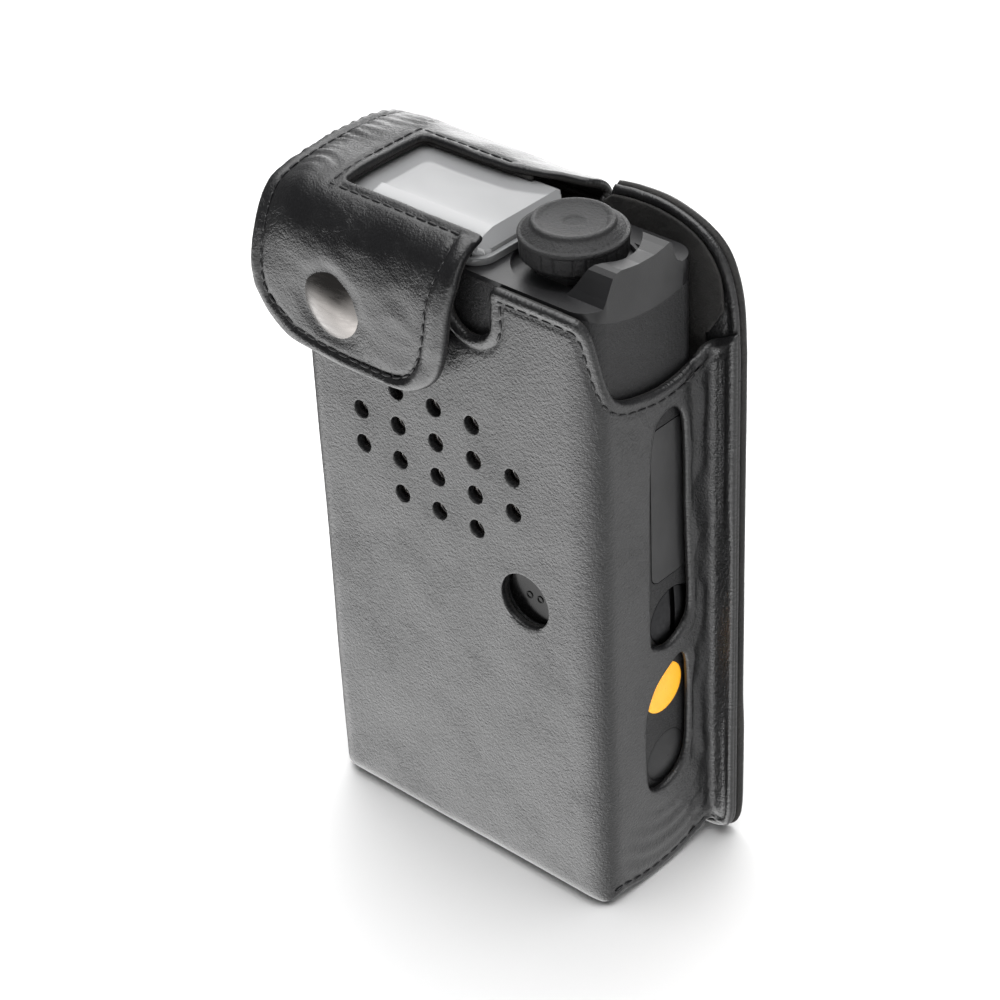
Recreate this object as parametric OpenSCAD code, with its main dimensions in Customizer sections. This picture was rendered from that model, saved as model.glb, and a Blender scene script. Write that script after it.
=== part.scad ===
/* [Leather case] */
// Outside width of the pouch
case_w = 62; // [61:0.5:63]
// Depth from the pouch's front face to the back panel
case_d = 29.2; // [29.2:0.1:30]
// Height of the front hem above the base
hem_h = 113.3; // [112:0.1:114]
// Thickness of the pouch leather
leather_t = 1.5; // [1.2:0.1:1.5]
// Sewn flange beyond each side of the pouch
flange_w = 4.6; // [4:0.1:6]
// Thickness of the back panel
panel_t = 2.15; // [2:0.05:2.4]
// Radius of the back panel's tall right shoulder
shoulder_r = 15.6; // [14:0.1:16]
// Diameter of the punched speaker holes
punch_d = 3; // [2.4:0.1:3.4]
// Diameter of the microphone hole
mic_hole_d = 9.8; // [9:0.1:10.5]

/* [Flap and snap] */
// Flap leather and lining together
flap_t = 2.2; // [2:0.1:2.4]
// Outside height of the closed flap above the base
flap_top = 119.8; // [119.6:0.1:120.2]
// Width of the strip left of the display window
strip_w = 14.7; // [13:0.1:15]
// Diameter of the snap's visible cap
cap_d = 11.5; // [10:0.1:12.5]

/* [Belt loop] */
// Width of the belt loop strap
loop_w = 45; // [35:1:50]
// Free gap for the belt
belt_gap = 4.5; // [4.3:0.1:5]
// Strap thickness
loop_t = 1.6; // [1.4:0.1:2]

/* [Radio] */
// Radio body width
radio_w = 58.4; // [58:0.1:58.4]
// Radio body depth
radio_d = 25.6; // [25.4:0.1:25.7]
// Wall thickness of the housings
wall = 1.6; // [1.4:0.1:1.8]
// Height of the radio's flat top above the base
top_z = 113.3; // [113:0.1:113.6]
// Knob diameter
knob_d = 17; // [15:0.1:17.4]
// Knob height
knob_h = 6.4; // [6:0.1:7]
// Orange button diameter
orange_d = 9.2; // [8:0.1:9.6]
// Power button diameter
power_d = 9.5; // [8:0.1:9.8]

/* [Hidden] */
$fn = 64;
eps = 0.01;
far = 60;

// Layers from front to back, measured from the pouch's front face
panel_y = case_d + 0.05;
panel_back = panel_y + panel_t;
loop_back = panel_back + belt_gap + loop_t;
flap_face = -3.6;
cap_rise = 1.3;
cap_front = flap_face - cap_rise;
// The origin lies at the bottom centre of the whole object
front_y = -(loop_back + cap_front) / 2;
half_w = case_w / 2;
edge_x = half_w + flange_w;

// Pouch
cavity_y = leather_t;
cavity_w = case_w - 2 * leather_t;
pouch_r = 5;
sole_r = 5;
flange_t = 1.2;
left_hem_z = 111.3;
scoop_z = 95.2;
scoop_y = 18;
scoop_front = 16.5;
flange_top = 100.5;
notch_x = 3;
notch_w = 8.3;
notch_z = 103.3;
hole_pitch_x = 8;
hole_pitch_z = 6.46;
hole_x = -17.6;
hole_z = 87.1;
mic_x = 16;
mic_z = 57.9;
// Side windows: front edge, bottom, back edge and top
upper_window = [12.2, 46, 23.4, 90];
lower_window = [11, 17, 22.9, 43.4];
window_r = 5;

// Flap
flap_skin = 1.3;
fold_r = 5;
hinge_z = 115.7;
hinge_y = 30.3;
bead_r = 1.1;
ramp_y = 26;
flap_right = 7.5;
flap_bottom = 89.7;
window_front = 3.8;
window_back = 22;
snap_x = -18.7;
snap_z = 101.1;
under_flap_top = 113.4;

// Snap, from the flap inwards
post_r = 1.9;
socket_r = 4.8;
stud_r = 4;
stud_head_r = 2;
pin_r = 1.5;
eyelet_r = 3.6;
eyelet_t = 0.3;

// Radio
radio_y = 1.8;
radio_back = radio_y + radio_d;
radio_half = radio_w / 2;
base_z = 2;
body_r_front = 4;
body_r_back = 4;
seam_z = 108.4;
seam_y = 17.5;
seam_bend = 0.0165;
knob_x = 16.4;
knob_y = 13.7;
recess_r = 10.2;
recess_z = top_z - 1;
bushing_r = 4.5;
shaft_r = 3;
running = 0.04;
knob_z = 114.2;
key_rise = 0.45;
orange_y = 18;
orange_z = 36.3;
power_y = 18.5;
power_z = 22;
screw_y = 20.2;
screw_z = 49.8;
cover_y = 15.2;
cover_w = 9;
cover_z = 57.8;
cover_h = 29;
cover_t = 1.2;
plate_gap = 0.15;
plate_stand = 0.05;
head_r = 5.25;
head_rise = 0.28;
coin_slot_w = 1.2;
shank_r = 2;
speaker_x = -1.6;
speaker_z = 77.4;
speaker_r = 16;
mesh_w = 39;
mesh_h = 27;
mesh_r = 6;
mic_seat_r = 5.2;
mic_seat_depth = 0.9;
mic_r = 3;
boss_x = 23.5;
boss_low_z = 6.6;
boss_high_z = 100;
boss_r = 2.4;
thread_r = 1;
screw_head_r = 1.9;
screw_head_t = 1.2;
motor_x = -22;
motor_y = 20;
motor_z = 84;
board_y = 12;
board_t = 1.2;
board_back = board_y + board_t;
encoder_top = top_z - wall;

// Battery door in the back, and the hole under the display: left, low, right and high edges
door = [-22, 9, 20, 69];
display_hole = [-27.4, 4.4, 3.4, 23.4];

// Display lens
lens_left = -28.2;
lens_right = 6.4;
lens_front = 3;
lens_back = 24.6;
lens_r = 3.4;
lens_top = 117.2;

// Moves the layout, whose y starts at the pouch's front face, to the object's own origin
module laid_out() {
    translate([0, front_y, 0]) children();
}

// A drawing in x and z, given a thickness along y from y0 to y1
module slab_xz(y0, y1) {
    translate([0, y1, 0]) rotate([90, 0, 0]) linear_extrude(y1 - y0) children();
}

// A drawing in y and z, given a thickness along x from x0 to x1
module slab_yz(x0, x1) {
    translate([x0, 0, 0]) rotate([90, 0, 90]) linear_extrude(x1 - x0) children();
}

module rounded(x0, y0, x1, y1, r) {
    translate([x0 + r, y0]) square([x1 - x0 - 2 * r, y1 - y0]);
    translate([x0, y0 + r]) square([x1 - x0, y1 - y0 - 2 * r]);
    for (x = [x0 + r, x1 - r], y = [y0 + r, y1 - r]) translate([x, y]) circle(r);
}

// Plan with large front corners and smaller back ones
module plan(w, y0, y1, rf, rb) {
    translate([-w / 2 + rf, y0]) square([w - 2 * rf, y1 - y0 - rb]);
    translate([-w / 2, y0 + rf]) square([w, y1 - y0 - rf - rb]);
    translate([-w / 2 + rb, y1 - 2 * rb]) square([w - 2 * rb, 2 * rb]);
    for (s = [-1, 1]) {
        translate([s * (w / 2 - rf), y0 + rf]) circle(rf);
        translate([s * (w / 2 - rb), y1 - rb]) circle(rb);
    }
}

module bar_y(x, z, r, y0, y1) {
    translate([x, y0, z]) rotate([-90, 0, 0]) cylinder(r = r, h = y1 - y0);
}

module bar_x(y, z, r, x0, x1) {
    translate([x0, y, z]) rotate([0, 90, 0]) cylinder(r = r, h = x1 - x0);
}

// ---------------------------------------------------------------- leather case

// Height of the scooped hem on the right side, at a distance y behind the front face
function scoop(y) = y < scoop_y
    ? scoop_z + (hem_h - scoop_z) * pow((scoop_y - y) / scoop_front, 6)
    : scoop_z + (flange_top - scoop_z) * pow((y - scoop_y) / (case_d - scoop_y), 3);

module scoop_cut() {
    steps = [for (y = [leather_t : 0.6 : case_d + 0.1]) [y, scoop(y)]];
    slab_yz(15, far)
        polygon(concat([[leather_t, 150]], steps, [[case_d + 0.1, flange_top], [case_d + 0.1, 150]]));
}

module pouch_outside() {
    intersection() {
        linear_extrude(hem_h) plan(case_w, 0, case_d + pouch_r, pouch_r, 1);
        slab_yz(-far, far) {
            translate([sole_r, 0]) square([case_d - sole_r, hem_h]);
            translate([0, sole_r]) square([case_d, hem_h]);
            translate([sole_r, sole_r]) circle(sole_r);
        }
    }
}

module flange() {
    slab_xz(case_d - flange_t, case_d) {
        translate([-edge_x, 6]) square([2 * edge_x, flange_top - 6]);
        translate([-edge_x, 50]) square([edge_x, left_hem_z - 50]);
        translate([-edge_x + 6, 0]) square([2 * edge_x - 12, 20]);
        for (s = [-1, 1]) translate([s * (edge_x - 6), 6]) circle(6);
    }
}

module speaker_punches() {
    for (i = [0 : 4], j = [0 : 3])
        if (!((i == 0 || i == 4) && (j == 0 || j == 3)))
            bar_y(hole_x + i * hole_pitch_x, hole_z - j * hole_pitch_z, punch_d / 2, -1, 3);
}

module case_pouch() {
    color("#26262a") laid_out() difference() {
        union() {
            pouch_outside();
            flange();
        }
        translate([0, 0, leather_t]) linear_extrude(far * 2.5)
            plan(cavity_w, cavity_y, case_d + 8, pouch_r - leather_t, 1);
        scoop_cut();
        translate([-far, leather_t + 1, left_hem_z]) cube([far, far, 20]);
        slab_xz(-1, leather_t + 1) {
            translate([notch_x, notch_z + notch_w / 2]) square([notch_w, 20]);
            translate([notch_x + notch_w / 2, notch_z + notch_w / 2]) circle(notch_w / 2);
        }
        for (w = [upper_window, lower_window])
            slab_yz(20, far) rounded(w[0], w[1], w[2], w[3], window_r);
        speaker_punches();
        bar_y(mic_x, mic_z, mic_hole_d / 2, -1, 3);
        bar_y(snap_x, snap_z, pin_r + 0.05, -1, 3);
        bar_y(snap_x, snap_z, eyelet_r + 0.2, leather_t - eyelet_t, 3);
    }
}

module panel_outline(inset) {
    e = edge_x - inset;
    r = shoulder_r - inset;
    rb = 6 - inset;
    translate([-e, 6]) square([2 * e, 97]);
    translate([-e + rb, inset]) square([2 * e - 2 * rb, 10]);
    for (s = [-1, 1]) translate([s * (e - rb), rb + inset]) circle(rb);
    translate([edge_x - shoulder_r, 103]) circle(r);
    translate([flap_right + 1 + inset, 80])
        square([edge_x - shoulder_r - flap_right - 1 - inset, 23 + r]);
    translate([-e, 80]) square([edge_x, under_flap_top - 80]);
    translate([-1, 80]) square([flap_right + 3 + inset, under_flap_top - 80]);
}

module case_back_panel() {
    color("#222226") laid_out() slab_xz(panel_y, panel_back) panel_outline(0);
}

module back_lining() {
    color("#6b6762") laid_out() slab_xz(case_d - flange_t, case_d) {
        translate([-cavity_w / 2 + 0.2, leather_t + 0.1])
            square([cavity_w - 0.4, under_flap_top - leather_t - 0.6]);
        intersection() {
            panel_outline(2.8);
            translate([0, flange_top + 0.3]) square([far, 40]);
        }
    }
}

// Side view of a leather layer between two depths under the flap's outer face
module flap_layer(d0, d1) {
    cy = flap_face + fold_r;
    cz = flap_top - fold_r;
    translate([cy, flap_top - d1]) square([ramp_y - cy, d1 - d0]);
    translate([flap_face + d0, 70]) square([d1 - d0, cz - 70]);
    intersection() {
        translate([cy, cz]) difference() {
            circle(fold_r - d0);
            circle(fold_r - d1);
        }
        translate([cy - 10, cz]) square([10, 10]);
    }
}

module flap_bounds() {
    corner_r = 6;
    tip_r = 5;
    tip = [-6.14, flap_bottom + tip_r];
    slab_xz(-10, 3) {
        polygon([[-edge_x, 130], [-edge_x, flap_bottom + corner_r], [-edge_x + corner_r, flap_bottom],
                 [tip[0], flap_bottom], [-1.55, 92.72], [7.2, 113], [flap_right, 130]]);
        translate([-edge_x + corner_r, flap_bottom + corner_r]) circle(corner_r);
        translate(tip) circle(tip_r);
    }
    translate([-edge_x, 2.9, 100]) cube([edge_x + flap_right, 60, 30]);
}

module window_cut() {
    translate([-edge_x + strip_w, window_front, flap_top - 4])
        cube([far, window_back - window_front, 10]);
}

module flap() {
    color("#1d1d20") laid_out() {
        difference() {
            intersection() {
                slab_yz(-edge_x, flap_right) flap_layer(0, flap_skin);
                flap_bounds();
            }
            window_cut();
            bar_y(snap_x, snap_z, post_r + 0.1, flap_face - 1, 0);
        }
        slab_yz(-edge_x, flap_right) {
            polygon([[ramp_y, flap_top - flap_skin], [ramp_y, flap_top],
                     [hinge_y + 0.8, hinge_z + 0.7], [hinge_y - 0.7, hinge_z - 0.8]]);
            translate([hinge_y, hinge_z]) circle(bead_r);
        }
    }
}

module flap_lining() {
    color("#3a3836") laid_out() difference() {
        intersection() {
            slab_yz(-edge_x + 1, flap_right - 1) flap_layer(flap_skin, flap_t);
            flap_bounds();
        }
        window_cut();
        translate([-far, ramp_y - 1, flap_bottom]) cube([2 * far, 10, 40]);
        bar_y(snap_x, snap_z, socket_r + 0.2, flap_face, 0);
    }
}

module belt_loop() {
    low = 22;
    high = 98;
    sewn = 9;
    ramp = 7;
    y0 = panel_back;
    y1 = panel_back + loop_t;
    gap_y = panel_back + belt_gap;
    color("#202023") laid_out() slab_yz(-loop_w / 2, loop_w / 2)
        polygon([[y0, low], [y1, low], [y1, low + sewn], [loop_back, low + sewn + ramp],
                 [loop_back, high - sewn - ramp], [y1, high - sewn], [y1, high], [y0, high],
                 [y0, high - sewn], [gap_y, high - sewn - ramp],
                 [gap_y, low + sewn + ramp], [y0, low + sewn]]);
}

// ---------------------------------------------------------------- ring snap

module snap_cap() {
    r = cap_d / 2;
    dome_r = (r * r + cap_rise * cap_rise) / (2 * cap_rise);
    color("#c2c0bc") laid_out() {
        intersection() {
            translate([snap_x, cap_front + dome_r, snap_z]) sphere(dome_r, $fn = 128);
            bar_y(snap_x, snap_z, r, cap_front - 1, flap_face);
        }
        bar_y(snap_x, snap_z, post_r, flap_face, flap_face + flap_skin);
    }
}

module snap_socket() {
    color("#b5b2ac") laid_out() difference() {
        bar_y(snap_x, snap_z, socket_r, flap_face + flap_skin, -0.75);
        bar_y(snap_x, snap_z, stud_head_r + 0.2, flap_face + flap_skin + 0.4, 0);
    }
}

module snap_stud() {
    color("#b5b2ac") laid_out() {
        bar_y(snap_x, snap_z, stud_r, -0.25, 0);
        bar_y(snap_x, snap_z, stud_head_r, -0.45, -0.25);
        bar_y(snap_x, snap_z, pin_r, 0, leather_t - eyelet_t);
    }
}

module snap_eyelet() {
    color("#8d8a84") laid_out() bar_y(snap_x, snap_z, eyelet_r, leather_t - eyelet_t, leather_t + 0.05);
}

// ---------------------------------------------------------------- radio housings

module body_plan(inset) {
    plan(radio_w - 2 * inset, radio_y + inset, radio_back - inset,
         body_r_front - inset, body_r_back - inset);
}

// Height of the seam between the housings and the top cap, lowest beside the knob
function seam(y) = seam_z + seam_bend * pow(y - seam_y, 2);

module below_seam() {
    slab_yz(-far, far)
        polygon(concat([[0, 0]], [for (y = [0 : 1.5 : 30]) [y, seam(y)]], [[30, 0]]));
}

// The front shell's side of the parting line, which steps back near the top
module front_side() {
    slab_yz(-far, far) polygon([[-5, 0], [10.5, 0], [10.5, 90], [15, 97], [15, 130], [-5, 130]]);
}

module shell() {
    difference() {
        intersection() {
            translate([0, 0, base_z]) linear_extrude(top_z - base_z) body_plan(0);
            below_seam();
        }
        translate([0, 0, base_z + wall]) linear_extrude(far * 2) body_plan(wall);
    }
}

module bosses(y0, y1, r) {
    for (x = [-boss_x, boss_x], z = [boss_low_z, boss_high_z]) bar_y(x, z, r, y0, y1);
}

module mesh_outline(gap) {
    reach_x = mesh_w / 2 - gap;
    reach_z = mesh_h / 2 - gap;
    rounded(speaker_x - reach_x, speaker_z - reach_z,
            speaker_x + reach_x, speaker_z + reach_z, mesh_r - gap);
}

module door_outline(gap) {
    rounded(door[0] + gap, door[1] + gap, door[2] - gap, door[3] - gap, 2 - gap);
}

module plate_outline(gap) {
    rounded(cover_y + gap, cover_z + gap, cover_y + cover_w - gap, cover_z + cover_h - gap, 2 - gap);
}

module front_housing() {
    color("#1f2022") laid_out() difference() {
        union() {
            intersection() {
                shell();
                front_side();
            }
            bosses(radio_y + wall - eps, board_y - 0.1, boss_r);
        }
        slab_xz(radio_y - 1, radio_y + wall + 1) mesh_outline(0);
        bar_y(mic_x, mic_z, mic_seat_r, radio_y - 1, radio_y + mic_seat_depth);
        bar_y(mic_x, mic_z, mic_r - 0.5, radio_y, radio_y + wall + 1);
        bosses(5, board_y, thread_r + 0.02);
    }
}

module rear_housing() {
    color("#1b1c1e") laid_out() difference() {
        union() {
            difference() {
                shell();
                front_side();
            }
            bosses(17, radio_back - wall + eps, boss_r);
        }
        slab_xz(radio_back - wall - 1, radio_back + 1) door_outline(0);
        slab_yz(radio_half - cover_t, far) plate_outline(0);
        slab_yz(20, far) rounded(cover_y + 1, cover_z + 2, cover_y + cover_w - 1, cover_z + cover_h - 2, 1);
        bar_x(screw_y, screw_z, head_r + 0.1, radio_half - 1, far);
        bar_x(screw_y, screw_z, shank_r + 0.05, 20, far);
        bar_x(orange_y, orange_z, orange_d / 2 + running, 20, far);
        bar_x(power_y, power_z, power_d / 2 + running, 20, far);
        bosses(16, far, thread_r + 0.1);
        bosses(radio_back - screw_head_t, far, screw_head_r + 0.2);
    }
}

module battery_cover() {
    color("#191a1c") laid_out()
        slab_xz(radio_back - wall, radio_back) door_outline(0.1);
}

// Side view of the guard beside the knob
module guard_profile() {
    polygon([[4.2, 112], [4.9, 112.9], [5.8, 114.4], [6.8, 116.4], [7.4, 117.4], [8.2, 117.95],
             [9.4, 118], [11.4, 117.6], [13.4, 117.3], [16.9, 117.2], [19.2, 117.5], [20.4, 117.8],
             [20.9, 117.4], [21.5, 115.3], [22.2, 114], [23.4, 113.2], [23.4, 112]]);
}

module top_cap() {
    color("#2a2b2d") laid_out() difference() {
        union() {
            difference() {
                translate([0, 0, seam_z]) linear_extrude(top_z - seam_z) body_plan(0);
                below_seam();
                translate([0, 0, seam_z - 1]) linear_extrude(top_z - wall - seam_z + 1) body_plan(wall);
            }
            intersection() {
                translate([0, 0, top_z - 0.5]) linear_extrude(8) body_plan(0);
                slab_yz(20, far) guard_profile();
                difference() {
                    translate([20, 0, 100]) cube([20, 40, 30]);
                    translate([knob_x, knob_y, 90]) cylinder(r = recess_r, h = 50);
                }
            }
        }
        translate([knob_x, knob_y, recess_z]) cylinder(r = recess_r - 0.6, h = 10);
        translate([knob_x, knob_y, 90]) cylinder(r = bushing_r + 0.02, h = 50);
        translate([0, 0, 90]) linear_extrude(50)
            rounded(display_hole[0], display_hole[1], display_hole[2], display_hole[3], 2.5);
    }
}

module top_gasket() {
    color("#0f0f10") laid_out() difference() {
        translate([0, 0, seam_z - 2]) linear_extrude(1.8) body_plan(wall + 0.05);
        translate([0, 0, seam_z - 3]) linear_extrude(4) body_plan(wall + 1);
    }
}

// ---------------------------------------------------------------- display

module lens_outline(grow) {
    rounded(lens_left - grow, lens_front - grow, lens_right + grow, lens_back + grow, lens_r + grow);
}

module display_lens() {
    color("#d9dadb") laid_out() intersection() {
        translate([0, 0, top_z + eps]) linear_extrude(6) lens_outline(0);
        slab_xz(-1, 40)
            polygon([[lens_left - 1, 100], [lens_right, 100], [lens_right, lens_top - 2],
                     [lens_right - 1.8, lens_top], [lens_left + 1.2, lens_top],
                     [lens_left, lens_top - 1.2]]);
        slab_yz(-far, far)
            polygon([[lens_front, 100], [lens_back, 100], [lens_back, lens_top - 0.6],
                     [lens_back - 0.8, lens_top], [lens_front + 6, lens_top],
                     [lens_front + 2.4, lens_top - 0.5], [lens_front, lens_top - 1.5]]);
    }
}

module display_bezel() {
    color("#8b8d8f") laid_out() difference() {
        translate([0, 0, top_z]) linear_extrude(1.3) intersection() {
            rounded(lens_left - 0.2, lens_front - 0.4, lens_right + 1, lens_back + 0.4, lens_r + 0.2);
            body_plan(0.05);
        }
        translate([0, 0, top_z - 1]) linear_extrude(6) lens_outline(0.05);
    }
}

module display_panel() {
    color("#9aa39a") laid_out() translate([-26, 5.4, 111.4]) cube([28, 16.6, 1.8]);
}

// ---------------------------------------------------------------- boards, battery and sound

module main_board() {
    color("#1f5a35") laid_out() difference() {
        translate([-26, board_y, 4.2]) cube([52, board_t, 100]);
        bosses(board_y - 1, board_y + 2, thread_r + 0.3);
    }
}

module shield_cans() {
    color("#b9bcc0") laid_out() {
        translate([-20, board_back, 72]) cube([22, 2.2, 22]);
        translate([4, board_back, 72]) cube([17, 2.2, 16]);
    }
}

module side_key_board() {
    color("#2b6a44") laid_out() translate([25, 13.6, 15]) cube([0.6, 10.4, 28]);
}

module key_domes() {
    color("#c9cbcd") laid_out() {
        bar_x(orange_y, orange_z, 2.5, 25.6, 25.95);
        bar_x(power_y, power_z, 2.5, 25.6, 25.95);
    }
}

module battery() {
    color("#3d444d") laid_out() slab_yz(-21.5, 19.5) rounded(16, 10, 25.4, 67, 2);
}

module battery_contacts() {
    color("#d8b24a") laid_out() for (x = [-12, -6, 0])
        translate([x, board_back, 62]) cube([2, 16 - board_back, 3]);
}

module speaker_mesh() {
    color("#8f857a") laid_out() slab_xz(radio_y + 0.15, radio_y + 0.65) mesh_outline(0.1);
}

module speaker_frame() {
    color("#5d6064") laid_out() difference() {
        union() {
            bar_y(speaker_x, speaker_z, speaker_r, 3.5, 5.6);
            bar_y(speaker_x, speaker_z, 9, 5.6, 9.6);
        }
        bar_y(speaker_x, speaker_z, speaker_r - 1.2, 3, 4.9);
        bar_y(speaker_x, speaker_z, 6.2, 3, 8.4);
    }
}

module speaker_cone() {
    color("#2b2a28") laid_out() {
        bar_y(speaker_x, speaker_z, speaker_r - 1.6, 4.05, 4.4);
        difference() {
            bar_y(speaker_x, speaker_z, 5.7, 4.4, 7.6);
            bar_y(speaker_x, speaker_z, 5.3, 4.9, 8);
        }
    }
}

module mic_insert() {
    color("#101012") laid_out() difference() {
        bar_y(mic_x, mic_z, mic_seat_r - 0.1, radio_y + 0.3, radio_y + mic_seat_depth - 0.05);
        for (x = [-1.1, 1.1]) bar_y(mic_x + x, mic_z, 0.45, 0, 5);
    }
}

module microphone() {
    color("#a7a9ac") laid_out() bar_y(mic_x, mic_z, mic_r, 4.2, 6.6);
}

module mic_boot() {
    color("#161617") laid_out() difference() {
        bar_y(mic_x, mic_z, 4.2, radio_y + wall + 0.05, 6.6);
        bar_y(mic_x, mic_z, mic_r + 0.02, 4.1, 8);
        bar_y(mic_x, mic_z, mic_r / 2, 3, 8);
    }
}

// ---------------------------------------------------------------- knob and encoder

module at_knob(z) {
    translate([knob_x, knob_y, z]) children();
}

module knob() {
    ribs = 18;
    r = knob_d / 2;
    skirt = 3.3;
    color("#3b3c3e") laid_out() at_knob(knob_z) difference() {
        rotate_extrude()
            polygon([[0, 0], [r - 0.9, 0], [r - 0.35, 0.5], [r - 0.35, skirt], [r, skirt + 0.1],
                     [r, skirt + 0.7], [r - 0.5, skirt + 1.2], [r - 1.8, knob_h - 0.5],
                     [r - 2.1, knob_h], [r - 2.8, knob_h], [r - 3.3, knob_h - 0.45],
                     [0, knob_h - 0.6]]);
        for (i = [0 : ribs - 1]) rotate([0, 0, i * 360 / ribs])
            translate([r - 1.05, -0.14, -1]) cube([2, 0.28, skirt + 0.8]);
        translate([0, 0, -1]) cylinder(r = 6.8, h = 2.6);
        translate([0, 0, -1]) cylinder(r = shaft_r + 0.01, h = 5.4);
    }
}

module encoder_shaft() {
    color("#c4c6c9") laid_out() {
        at_knob(encoder_top - 3.8) cylinder(r = shaft_r, h = 10.6);
        at_knob(encoder_top - 3.6) cylinder(r = 3.9, h = 0.7);
    }
}

module encoder_plunger() {
    color("#d8d8d2") laid_out() at_knob(encoder_top - 4.7) cylinder(r = 3.5, h = 0.85);
}

module encoder_body() {
    color("#4a4d52") laid_out() difference() {
        union() {
            at_knob(encoder_top - 6.2) translate([-5.7, -5.7, 0]) cube([11.4, 11.4, 6.2]);
            at_knob(encoder_top - 0.1) cylinder(r = bushing_r, h = 2.5);
        }
        at_knob(encoder_top - 5.5) cylinder(r = 4.3, h = 3.2);
        at_knob(encoder_top - 5) cylinder(r = shaft_r + running, h = 20);
    }
}

module encoder_nut() {
    color("#b8babd") laid_out() difference() {
        at_knob(recess_z) cylinder(r = 6, h = 1.5, $fn = 6);
        at_knob(recess_z - 1) cylinder(r = bushing_r + 0.02, h = 4);
    }
}

// ---------------------------------------------------------------- right side controls

module accessory_connector() {
    color("#2d2e30") laid_out() {
        translate([22, 16.6, 62]) cube([4.9, 6, 20]);
        for (i = [0 : 6]) translate([26.9, 18.8, 63.4 + i * 2.7]) cube([0.3, 1.6, 1.4]);
    }
}

module accessory_cover() {
    back = radio_half - cover_t + plate_stand;
    color("#242527") laid_out() slab_yz(back, radio_half + plate_stand) plate_outline(plate_gap);
}

// A round head facing +X, its back at x = 0, whose face bulges by rise beyond its rim
module domed_head(r, rim, rise) {
    sphere_r = (r * r + rise * rise) / (2 * rise);
    face = [for (k = [0 : 8]) let (d = r * k / 8)
        [d, rim + rise - sphere_r + sqrt(sphere_r * sphere_r - d * d)]];
    rotate([0, 90, 0]) rotate_extrude() polygon(concat([[0, 0]], face, [[r, 0]]));
}

module cover_screw() {
    back = radio_half - 0.95;
    color("#2e2f31") laid_out() difference() {
        union() {
            translate([back, screw_y, screw_z]) domed_head(head_r, radio_half - back, head_rise);
            bar_x(screw_y, screw_z, shank_r, 22, back + 0.1);
        }
        translate([radio_half - 0.6, screw_y - coin_slot_w / 2, screw_z - 10])
            cube([5, coin_slot_w, 20]);
    }
}

// A round key with a retaining flange inside the wall
module side_key(y, z, d) {
    translate([27, y, z]) domed_head(d / 2, radio_half - 27, key_rise);
    bar_x(y, z, d / 2 + 0.6, 26.7, 27.25);
    bar_x(y, z, 1.2, 26.45, 26.7);
}

module orange_button() {
    color("#f6a21b") laid_out() side_key(orange_y, orange_z, orange_d);
}

module power_button() {
    color("#1a1a1b") laid_out() side_key(power_y, power_z, power_d);
}

// ---------------------------------------------------------------- other inner pieces

module antenna() {
    color("#c98a4b") laid_out() {
        translate([-27.4, 14, 66]) cube([0.4, 9, 38]);
        translate([-27.2, 14, 103.6]) cube([14, 9, 0.4]);
    }
}

module vibration_motor() {
    color("#b3b5b8") laid_out() difference() {
        bar_x(motor_y, motor_z, 3, motor_x, motor_x + 11);
        bar_x(motor_y, motor_z, 0.5 + running, motor_x - 1, motor_x + 6);
    }
}

module vibration_weight() {
    color("#8f9296") laid_out() {
        bar_x(motor_y, motor_z, 0.5, motor_x - 4, motor_x + 5);
        difference() {
            bar_x(motor_y, motor_z, 2.6, motor_x - 4, motor_x - 0.5);
            translate([motor_x - 5, motor_y - 4, motor_z + 0.8]) cube([6, 8, 4]);
        }
    }
}

module housing_screws() {
    color("#9a9da1") laid_out() {
        bosses(5.2, radio_back - screw_head_t, thread_r);
        difference() {
            bosses(radio_back - screw_head_t, radio_back - 0.2, screw_head_r);
            bosses(radio_back - 0.8, radio_back, 0.7);
        }
    }
}

case_pouch();
case_back_panel();
back_lining();
flap();
flap_lining();
belt_loop();
snap_cap();
snap_socket();
snap_stud();
snap_eyelet();
front_housing();
rear_housing();
battery_cover();
top_cap();
top_gasket();
display_lens();
display_bezel();
display_panel();
main_board();
shield_cans();
side_key_board();
key_domes();
battery();
battery_contacts();
speaker_mesh();
speaker_frame();
speaker_cone();
mic_insert();
microphone();
mic_boot();
knob();
encoder_shaft();
encoder_plunger();
encoder_body();
encoder_nut();
accessory_connector();
accessory_cover();
cover_screw();
orange_button();
power_button();
antenna();
vibration_motor();
vibration_weight();
housing_screws();
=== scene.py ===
"""A two-way radio in its sewn leather belt case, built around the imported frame."""

import math

import bpy
import numpy as np
from mathutils import Matrix, Vector
from mathutils.geometry import delaunay_2d_cdt


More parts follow.
